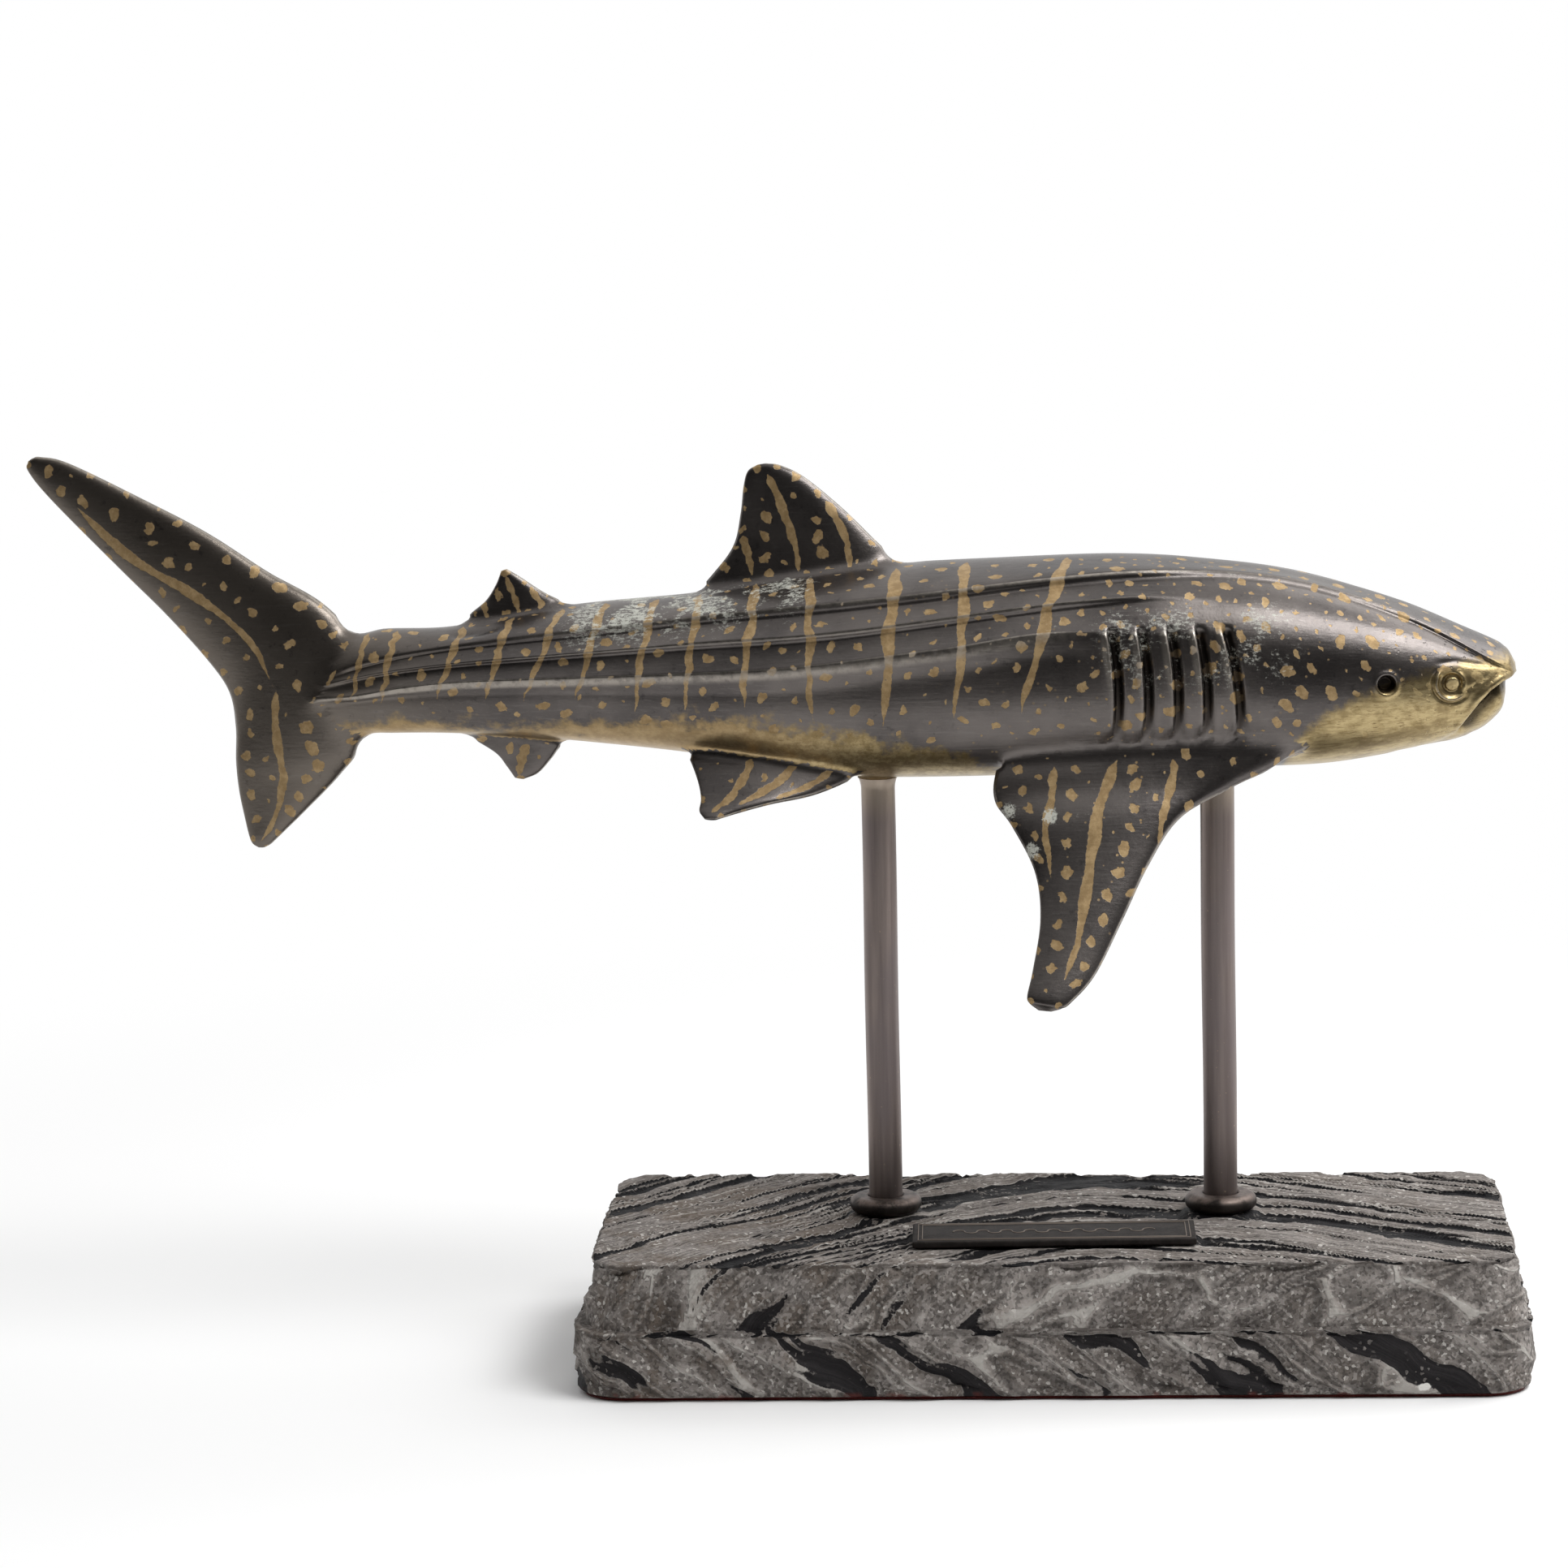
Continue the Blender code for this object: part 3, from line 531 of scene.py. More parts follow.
def body_relief(points):
    x, height = points[:, 0], points[:, 2]
    total = gill_relief(x, height) + head_relief(x, height)
    press_folds(total, x, height, FOLDS[:2])
    return total


def refine(mesh, chosen):
    """Divides the faces whose middles are chosen, to make room for small forms."""
    bm = bmesh.new()
    bm.from_mesh(mesh)
    middles = np.array([face.calc_center_median() for face in bm.faces])
    faces = [face for face, yes in zip(bm.faces, chosen(middles)) if yes]
    edges = list({edge for face in faces for edge in face.edges})
    bmesh.ops.subdivide_edges(bm, edges=edges, cuts=1, use_grid_fill=True)
    bm.to_mesh(mesh)
    bm.free()


def near_place(points, place, reach):
    return np.hypot(points[:, 0] - place[0], points[:, 2] - place[1]) < reach


def near_head_forms(middles):
    x, height = middles[:, 0], middles[:, 2]
    mouth = (np.abs(line_distance(x, height, MOUTH_LINE)[0]) < 4) & (x > 149) & (x < 173)
    return near_place(middles, EYE_PLACE, 9) | near_place(middles, SPIRACLE_PLACE, 6) | mouth


def near_spiracle(middles):
    return near_place(middles, SPIRACLE_PLACE, 4.6) & (np.abs(middles[:, 1]) > 10)


def make_body():
    """The body in millimetres, with its girth and crest values kept on the vertices."""
    snout = BODY_STATIONS[-1, 0]
    places = np.concatenate([
        np.linspace(-290, 18, 155)[:-1],
        np.linspace(18, 76, 96)[:-1],
        np.linspace(76, 116, 23)[:-1],
        np.linspace(116, 160, 56)[:-1],
        160 + (snout - 160) * np.sin(np.linspace(0, math.pi / 2, 30)[:-1]),
    ])
    rings, girth, crest = body_rings(places)
    last = rings[-1]
    middle = last.mean(axis=0)
    end = middle + (last - middle) * 0.5
    end[:, 0] = snout - 0.05
    rings = np.concatenate([rings, end[None]])
    girth, crest = (np.concatenate([values, values[-1:]]) for values in (girth, crest))
    tips = [rings[0].mean(axis=0), (snout, 0, middle[2])]
    mesh = loft("shark_body", rings, tips)
    store(mesh, "girth", np.concatenate([girth.ravel(), [girth[0].mean(), girth[-1].mean()]]))
    store(mesh, "crest", np.concatenate([crest.ravel(), [0, 0]]))
    refine(mesh, near_head_forms)
    refine(mesh, near_spiracle)
    points, normals = vertex_array(mesh), vertex_array(mesh, "normal")
    relief = body_relief(points)
    swell = 0.3 * rough(points, 34.0, 3.0) * smooth_step(172 - points[:, 0], 0, 10)
    points += normals * (relief + swell)[:, None]
    points[:, 0] = np.minimum(points[:, 0], snout)
    mesh.vertices.foreach_set("co", points.ravel())
    lay = np.stack([points[:, 0], fetch(mesh, "girth", 1), np.zeros(len(points))], -1)
    return mesh, lay, relief, fetch(mesh, "crest", 1)


# Fins: pairs of points on the front and rear edge, root to tip, and the half thickness there.
CAUDAL_FIN = [
    ((-377.9, 0, 124.9), (-379.7, 0, 123.6), 0.8),
    ((-374.9, 0, 125.3), (-379.7, 0, 119.8), 1.5),
    ((-364, 0, 122.6), (-371, 0, 108.5), 2.2),
    ((-336, 0, 108.4), (-346, 0, 82), 3.2),
    ((-313, 0, 95.8), (-329.7, 0, 65.1), 4.2),
    ((-291, 0, 81), (-315, 0, 48), 5.2),
    ((-268, 0, 66.5), (-307, 0, 35.5), 6.6),
    ((-250, 0, 42), (-305, 0, 22), 7.6),
    ((-257, 0, 16), (-305.4, 0, 9), 6.4),
    ((-266, 0, 3.5), (-304.6, 0, -2.5), 4.6),
    ((-279, 0, -9.5), (-302.8, 0, -13), 3.2),
    ((-290.5, 0, -20.3), (-301.4, 0, -19.8), 2.2),
    ((-293.3, 0, -22.8), (-300.2, 0, -22.6), 1.5),
    ((-295.6, 0, -24), (-298.2, 0, -24), 0.8),
]
FIRST_DORSAL_FIN = [
    ((-30, 0, 72), (-138, 0, 62), 7.5),
    ((-52, 0, 81), (-124, 0, 77), 6.0),
    ((-60.6, 0, 87.5), (-115.6, 0, 88), 4.8),
    ((-74, 0, 101), (-112.6, 0, 100), 3.8),
    ((-88, 0, 113), (-111.3, 0, 110), 2.8),
    ((-97, 0, 117.8), (-109.6, 0, 115.8), 1.9),
    ((-102.5, 0, 118.7), (-106, 0, 118.2), 1.0),
]
SECOND_DORSAL_FIN = [
    ((-158, 0, 58), (-223, 0, 50), 5.0),
    ((-178, 0, 67.2), (-216.5, 0, 62), 3.6),
    ((-187, 0, 71.6), (-209, 0, 68.6), 2.6),
    ((-196, 0, 77.7), (-205, 0, 74.6), 1.8),
    ((-200.6, 0, 80.5), (-202.8, 0, 79.8), 0.9),
]
ANAL_FIN = [
    ((-168, 0, 26), (-230, 0, 28), 5.0),
    ((-181, 0, 14.5), (-217.5, 0, 18), 3.6),
    ((-186, 0, 8.5), (-207, 0, 11), 2.6),
    ((-191, 0, 3.2), (-203, 0, 6), 1.8),
    ((-196.5, 0, 0.9), (-200, 0, 1.5), 0.9),
]
PELVIC_FIN = [
    ((-52, 10, 14), (-138, 10, 20), 4.2),
    ((-68, 19, 4.5), (-132.5, 19, 11), 3.4),
    ((-84, 25, -1.8), (-129, 26, 3.5), 2.6),
    ((-101, 31, -4.4), (-127.6, 31, -2.2), 1.9),
    ((-114, 35, -7.2), (-128, 35, -6.2), 1.4),
    ((-121, 37.5, -8.9), (-126, 37.5, -8.8), 0.8),
]
# The middle value of each point of the pectoral fin is a share of half the span.
PECTORAL_FIN = [
    ((104, 0.345, 25), (-12, 0.24, 22), 5.6),
    ((94, 0.365, 11), (-18.3, 0.385, 6.5), 5.4),
    ((70, 0.43, 0.6), (-18.8, 0.45, -4), 5.0),
    ((49.5, 0.525, -10), (-12.5, 0.535, -12.5), 4.5),
    ((37.5, 0.64, -26), (-4.2, 0.65, -28), 3.8),
    ((27.5, 0.77, -45), (-2.3, 0.78, -44), 3.2),
    ((17.5, 0.90, -63), (-5.2, 0.915, -61), 2.4),
    ((8.6, 0.98, -72), (-7.2, 0.98, -69), 1.7),
    ((5.2, 0.992, -73.9), (-6.5, 0.99, -71.7), 1.3),
    ((1.6, 1.0, -74.8), (-3.2, 0.998, -74.3), 0.8),
]


def make_fin(name, pairs, rows, steps, outward=1.0):
    """A fin as a loft of rounded blade sections between its front and its rear edge."""
    turn = np.array([1, outward, 1])
    front = smooth_curve([a for a, b, c in pairs], rows) * turn
    rear = smooth_curve([b for a, b, c in pairs], rows) * turn
    thickness = smooth_curve([[c] for a, b, c in pairs], rows)
    along = np.gradient((front + rear) / 2, axis=0)
    normals = np.cross(rear - front, along)
    normals /= np.linalg.norm(normals, axis=1)[:, None]
    even = np.linspace(0, 1, steps + 1)
    part = 0.45 * even + 0.55 * (1 - np.cos(math.pi * even)) / 2
    depth = (1 - np.abs(2 * part**0.82 - 1) ** 2.0) ** 0.58
    part, depth = np.concatenate([part, part[-2:0:-1]]), np.concatenate([depth, -depth[-2:0:-1]])
    rings = front[:, None] + (rear - front)[:, None] * part[None, :, None]
    rings += (normals * thickness)[:, None] * depth[None, :, None]
    mesh = loft(name, rings, [rings[0].mean(axis=0), rings[-1].mean(axis=0)])
    chord = np.linalg.norm(rear - front, axis=1)[:, None]
    edge = bell(part[None] * chord, 0, 1.1) + 0.7 * bell((1 - part[None]) * chord, 0, 0.8)
    store(mesh, "crest", np.concatenate([edge.ravel(), [0, 0]]))
    return mesh


def make_eye(side):
    """A low disc with a soft rim and a faint dome, square to the head."""
    across = float(body_point(EYE_PLACE[0], flank_angle(*EYE_PLACE))[0])
    profile = [(2.55, -2.0), (2.55, 0.25), (2.5, 0.5), (2.3, 0.72), (2.0, 0.8), (1.5, 0.86), (0.8, 0.95)]
    turns = np.linspace(0, 2 * math.pi, 41)[:-1]
    rings = np.array([[(r * math.cos(a), -z, r * math.sin(a)) for a in turns] for r, z in profile])
    for angle, axis in ((math.atan2(0.22, 1), "X"), (math.radians(14), "Z")):
        rings = rings @ np.array(Matrix.Rotation(angle, 3, axis).transposed())
    rings = rings * (1, -side, 1) + (EYE_PLACE[0], side * across, EYE_PLACE[1])
    return loft(f"eye_{side}", rings, [rings[0].mean(axis=0), rings[-1].mean(axis=0)])


body_mesh, body_lay, body_proud, body_crest = make_body()
fin_meshes = [
    make_fin("caudal_fin", CAUDAL_FIN, 118, 30),
    make_fin("first_dorsal_fin", FIRST_DORSAL_FIN, 44, 30),
    make_fin("second_dorsal_fin", SECOND_DORSAL_FIN, 28, 22),
    make_fin("anal_fin", ANAL_FIN, 28, 22),
]
for side in (-1, 1):
    fin_meshes.append(make_fin("pelvic_fin", PELVIC_FIN, 34, 26, side))
    fin_meshes.append(make_fin("pectoral_fin", PECTORAL_FIN, 74, 34, side * PECTORAL_SPAN / 2))
# The fin on the far side is set a little further forward than its fellow.
FAR_FIN_AHEAD = 4.5
fin_meshes[-1].transform(Matrix.Translation((FAR_FIN_AHEAD, 0, 0)))
eye_meshes = [make_eye(side) for side in (-1, 1)]


def combine(obj, operation, meshes):
    """Joins closed meshes to an object or cuts them out of it, as the operation says."""
    bench = bpy.data.collections.new("bench")
    bpy.context.scene.collection.children.link(bench)
    for mesh in meshes:
        lone_object(mesh.name, mesh, bench)
    cut = obj.modifiers.new("combine", "BOOLEAN")
    cut.operation, cut.operand_type, cut.solver, cut.collection = operation, "COLLECTION", "EXACT", bench
    bpy.context.view_layer.update()
    mesh = bpy.data.meshes.new_from_object(obj.evaluated_get(bpy.context.evaluated_depsgraph_get()))
    obj.modifiers.clear()
    obj.data = mesh
    for part in list(bench.objects):
        bpy.data.objects.remove(part)
    bpy.data.collections.remove(bench)


# One closed skin round the body, fins and eyes.
shark = lone_object("shark", body_mesh)
combine(shark, "UNION", fin_meshes + eye_meshes)
joined = shark.data
joined.name = "shark"
points = vertex_array(joined)


def tree_of(points, numbers):
    """A search tree of points, each found by its number."""
    tree = kdtree.KDTree(len(points))
    for number, point in zip(numbers, points):
        tree.insert(point, int(number))
    tree.balance()
    return tree


# Each vertex takes its lie on the surface from the part that it came from: (x, girth, 0) on the
# body and (x, height, 1) on a fin.
sources = [(vertex_array(body_mesh), body_lay, body_proud, body_crest)]
for mesh in fin_meshes + eye_meshes:
    place = vertex_array(mesh)
    kind = 1.0 if mesh in fin_meshes else 0.5
    lay = np.stack([place[:, 0], place[:, 2], np.full(len(place), kind)], -1)
    edge = fetch(mesh, "crest", 1) if kind == 1.0 else np.zeros(len(place))
    sources.append((place, lay, np.zeros(len(place)), edge))
source_points, source_lay, source_proud, source_crest = (np.concatenate(rows) for rows in zip(*sources))
tree = tree_of(source_points.tolist(), range(len(source_points)))
found = [tree.find(point) for point in points.tolist()]
nearest = np.array([hit[1] for hit in found])
is_seam = np.array([hit[2] for hit in found]) > 1e-4
lay, proud, crest = source_lay[nearest], source_proud[nearest], source_crest[nearest]


def soften_seams(mesh, points, is_seam):
    """Draws the skin near the roots of the fins into small fillets."""
    away_from_eye = np.hypot(points[:, 0] - EYE_PLACE[0], points[:, 2] - EYE_PLACE[1]) > 12
    seam = points[is_seam & away_from_eye]
    tree = tree_of(seam.tolist(), range(len(seam)))
    away = np.array([tree.find(point)[2] for point in points.tolist()])
    dorsal_front = (points[:, 2] > 66) & (points[:, 0] > -66)
    pectoral_root = (points[:, 2] < 25) & (points[:, 0] > -10)
    reach = np.where(points[:, 0] < -228, 11.0, np.where(dorsal_front | pectoral_root, 9.0, 4.2))
    weight = 1 - smooth_step(away / reach, 0.15, 1.0)
    edges = np.zeros(len(mesh.edges) * 2, int)
    mesh.edges.foreach_get("vertices", edges)
    a, b = edges.reshape(-1, 2).T
    ends, others = np.concatenate([a, b]), np.concatenate([b, a])
    count = np.bincount(ends, minlength=len(points))[:, None]
    for _ in range(26):
        total = np.stack([np.bincount(ends, points[others, i], len(points)) for i in range(3)], -1)
        points = points + 0.55 * weight[:, None] * (total / count - points)
    return points


points = soften_seams(joined, points, is_seam)

# Painted strokes, as points (x, share of girth from back to belly) on the body or (x, height) on a
# fin, each with its greatest width. The lower ends of the body's strokes lie further back.
BODY_STROKES = [
    (-253, -259, 3.2), (-242, -248, 3.4), (-216.5, -227, 3.6), (-198.5, -208.5, 4.0),
    (-180, -193.5, 3.6),
    (-163, -174, 4.0), (-144, -152.5, 3.8), (-128, -132.5, 3.8), (-106, -111.5, 4.4), (-86, -86, 4.2),
    (-54, -60, 5.6), (-28, -33, 4.8), (8.5, -9, 5.4),
]
FIN_STROKES = [
    ([(-361, 106), (-351, 95), (-336, 83), (-320, 74), (-305, 63), (-295, 51), (-289, 37)], 4.4),
    ([(-288.5, 37), (-289, 22), (-287, 7), (-288, -2), (-291, -12), (-297, -22)], 4.0),
    ([(-102, 115), (-98, 106), (-95, 97), (-92, 87), (-91, 77)], 4.0),
    ([(-81, 105), (-76, 97), (-73, 90), (-72, 82), (-71, 75)], 3.6),
    ([(-112, 92), (-110, 85), (-108.5, 77)], 3.8),
    ([(-201, 78), (-198, 70), (-195, 61)], 3.0),
    ([(-192, 74), (-188, 68), (-185, 62)], 3.0),
    ([(-210, 68), (-208, 61)], 2.6),
    ([(-194, 15), (-197, 9), (-198, 2)], 4.4),
    ([(-108, 12), (-115, 0), (-124, -7)], 3.8),
    ([(-90, 12), (-99, 3), (-114, -4.5)], 3.8),
    ([(-76, 8), (-87, 1.5), (-101, -3)], 3.0),
    ([(27, 11), (23, 3), (19, -8), (17, -20), (14.5, -34), (11.5, -50), (6, -65)], 5.2),
    ([(3, 9), (2, -3), (0, -13), (2, -30)], 3.6),
    ([(47.5, 11), (46, 1), (43, -9), (40.5, -20)], 4.0),
]
STROKE_COUNT = 14
hand = random.Random(7)


def brush_line(keys, wander):
    """A stroke's centre line with the small side steps of a hand-held brush."""
    line = smooth_curve(keys, STROKE_COUNT)
    line[:, 0] += np.array([hand.uniform(-wander, wander) for _ in line])
    return line


def girth_line(above, below):
    """A body stroke from just under the back to just above the belly band."""
    share = np.linspace(hand.uniform(0.03, 0.06), hand.uniform(0.61, 0.67), STROKE_COUNT)
    x = above + (below - above) * np.linspace(0, 1, STROKE_COUNT) ** 1.3
    x = x + np.array([hand.uniform(-0.9, 0.9) for _ in x])
    full = np.interp(x, half_girth[:, 0], half_girth[:, 1])
    return np.stack([x, share * full], -1)


rings, girth, _ = body_rings(np.linspace(-285, 173, 60))
half_girth = np.stack([rings[:, 0, 0], girth.max(axis=1)], -1)
strokes = [(girth_line(above, below), width, 0.0) for above, below, width in BODY_STROKES]
strokes += [(brush_line(keys, 0.35), width, 1.0) for keys, width in FIN_STROKES]


def stroke_at(lay, stroke):
    """Signed distance from a stroke's centre line, and its half width there."""
    line, width, _ = stroke
    d, part = line_distance(lay[:, 0], lay[:, 1], line)
    taper = smooth_step(part, -0.03, 0.10) * smooth_step(1 - part, -0.02, 0.12)
    taper = taper * (1 - 0.45 * smooth_step(part, 0.45, 1.0)) * (0.9 + 0.16 * np.sin(part * 21 + width * 5))
    beyond = np.maximum(np.maximum(-part, part - 1), 0)
    return d, width / 2 * taper - 0.2 - 40 * beyond


def nearest_strokes(lay):
    """The number of the nearest stroke for each place, or -1, and how far its edge is."""
    number, clear = np.full(len(lay), -1), np.full(len(lay), 9.0)
    for index, stroke in enumerate(strokes):
        line, _, kind = stroke
        low, high = line.min(axis=0) - 9, line.max(axis=0) + 9
        inside = (lay[:, 2] == kind) & np.all((lay[:, :2] > low) & (lay[:, :2] < high), axis=1)
        chosen = np.flatnonzero(inside)
        d, half = stroke_at(lay[chosen], stroke)
        away = np.abs(d) - half
        closer = (away < clear[chosen]) & (np.abs(d) < 8)
        number[chosen] = np.where(closer, index, number[chosen])
        clear[chosen] = np.where(closer, away, clear[chosen])
    return number, clear


def face_corners(mesh, lay):
    """The lie of every face corner, the face it belongs to, and the middle of each face."""
    vertices, totals = np.zeros(len(mesh.loops), int), np.zeros(len(mesh.polygons), int)
    mesh.loops.foreach_get("vertex_index", vertices)
    mesh.polygons.foreach_get("loop_total", totals)
    face = np.repeat(np.arange(len(totals)), totals)
    corners = lay[vertices]
    middles = np.stack([np.bincount(face, corners[:, i]) for i in range(3)], -1) / totals[:, None]
    return corners, face, middles


def lay_strokes(corners, face, middles):
    """Each face reads one stroke only, so that no false paint shows between two of them."""
    result = np.tile(np.array([9.0, -9.0, 0.0]), (len(corners), 1))
    number = nearest_strokes(middles)[0][face]
    for index, stroke in enumerate(strokes):
        chosen = np.flatnonzero(number == index)
        result[chosen, 0], result[chosen, 1] = stroke_at(corners[chosen], stroke)
    return result


corner_lay, corner_face, face_middles = face_corners(joined, lay)
store(joined, "brush", lay_strokes(corner_lay, corner_face, face_middles), "CORNER")

# Painted spots: rows of them along the fins, as a line, a count and a radius. The rest are strewn
# with a least distance.
SPOT_ROWS = [
    ([(-368, 113), (-345, 103), (-312, 90), (-290, 77), (-272, 62), (-262, 50)], 12, 2.3),
    ([(-370, 105), (-352, 86), (-333, 68), (-316, 50), (-303, 36)], 9, 1.9),
    ([(-334, 93), (-315, 80), (-300, 70), (-283, 54)], 5, 1.8),
    ([(-298, 28), (-300, 15), (-300, 2), (-298, -12)], 6, 1.8),
    ([(-276, 22), (-274, 10), (-279, 0), (-286, -9)], 6, 2.3),
    ([(-103, 98), (-103, 88), (-102, 78)], 4, 2.0),
    ([(-84, 98), (-82, 88), (-80, 78)], 4, 2.1),
    ([(-204, 70), (-201, 64)], 2, 1.9),
    ([(33, 8), (33, -6), (28, -20), (23, -36), (17, -52), (10, -66)], 11, 2.0),
    ([(11, 8), (9, -6), (8, -20), (7, -34), (4, -48), (2, -60)], 9, 1.9),
    ([(-10, 8), (-9, -2), (-4, -12), (-3, -24)], 5, 1.8),
]


def strew_spots(lay):
    """Places, kinds and radii of spots that keep clear of the strokes and of each other."""
    table, filled = np.zeros((3000, 4)), 0
    for keys, count, radius in SPOT_ROWS:
        for x, y in smooth_curve(keys, count):
            size = radius * hand.uniform(0.75, 1.2)
            table[filled] = x + hand.uniform(-1, 1), y + hand.uniform(-1, 1), 1.0, size
            filled += 1
    candidates = list(range(len(lay)))
    hand.shuffle(candidates)
    clear = nearest_strokes(lay)[1]
    for number in candidates[:15000]:
        x, y, kind = lay[number]
        head = kind == 0 and x > 12
        radius = hand.choice((0.7, 1.0, 1.4, 1.8, 2.2, 2.5) if head else (0.7, 1.2, 1.5, 1.8, 2.1))
        share = y / np.interp(x, half_girth[:, 0], half_girth[:, 1])
        off_flank = kind == 0 and not 0.04 < share < 0.70
        if off_flank or kind not in (0.0, 1.0) or clear[number] < radius + 1.2:
            continue
        rows = table[:filled]
        apart = (2.9 if head else 4.0) + 1.1 * radius + rows[:, 3]
        if np.any((np.hypot(rows[:, 0] - x, rows[:, 1] - y) < apart) & (rows[:, 2] == kind)):
            continue
        table[filled] = x, y, kind, radius
        filled += 1
    return table[:filled]


def lay_spots(corners, face, middles):
    """Offset from the middle of the spot that each face reads, drawn out its own way, and its radius."""
    result = np.tile(np.array([9.0, 9.0, -9.0]), (len(corners), 1))
    shapes = [(hand.uniform(0, math.pi), hand.uniform(1.0, 1.65)) for _ in spot_table]
    turns, stretch = np.array(shapes).T
    number = np.full(len(middles), -1)
    for kind in (0.0, 1.0):
        rows = np.flatnonzero(spot_table[:, 2] == kind)
        tree = tree_of([(*spot_table[row, :2], 0) for row in rows], rows)
        for index in np.flatnonzero(middles[:, 2] == kind):
            near = tree.find_n((*middles[index, :2], 0), 3)
            number[index] = min(near, key=lambda hit: hit[2] - spot_table[hit[1], 3])[1]
    spot = number[face]
    chosen = np.flatnonzero(spot >= 0)
    spot = spot[chosen]
    du, dv = (corners[chosen, i] - spot_table[spot, i] for i in (0, 1))
    cos, sin = np.cos(turns[spot]), np.sin(turns[spot])
    draw = np.sqrt(stretch[spot])
    across, along = (du * cos + dv * sin) / draw, (dv * cos - du * sin) * draw
    result[chosen] = np.stack([across, along, spot_table[spot, 3]], -1)
    return result


spot_table = strew_spots(lay)
store(joined, "spot", lay_spots(corner_lay, corner_face, face_middles), "CORNER")

# The rubbed metal below this line: the belly band behind the pectoral fins, and the chin.
RUBBED_LINE = [
    (-300, 18), (-267, 24), (-235, 25), (-207, 23.5), (-147, 25.8), (-117, 26.4), (-87, 23.4),
    (-57, 18.3), (-27, 11.4), (-15, 5), (0, -6), (20, -16), (80, -16), (86, 2), (89, 10), (95, 20),
    (103, 27), (112, 31.5), (119, 34.5), (130, 39.4), (144, 41.6), (154, 44), (175, 47),
]
rubbed_line = np.interp(points[:, 0], *np.array(RUBBED_LINE).T) - points[:, 2]
rubbed_line = np.where(lay[:, 2] == 0, rubbed_line, np.where(lay[:, 2] == 1, -20, 10))
store(joined, "rubbed", rubbed_line)
store(joined, "lay", lay)
store(joined, "proud", proud)
store(joined, "crest", crest)

joined.vertices.foreach_set("co", (points * MM + SHARK_PLACE).ravel())
joined.shade_smooth()


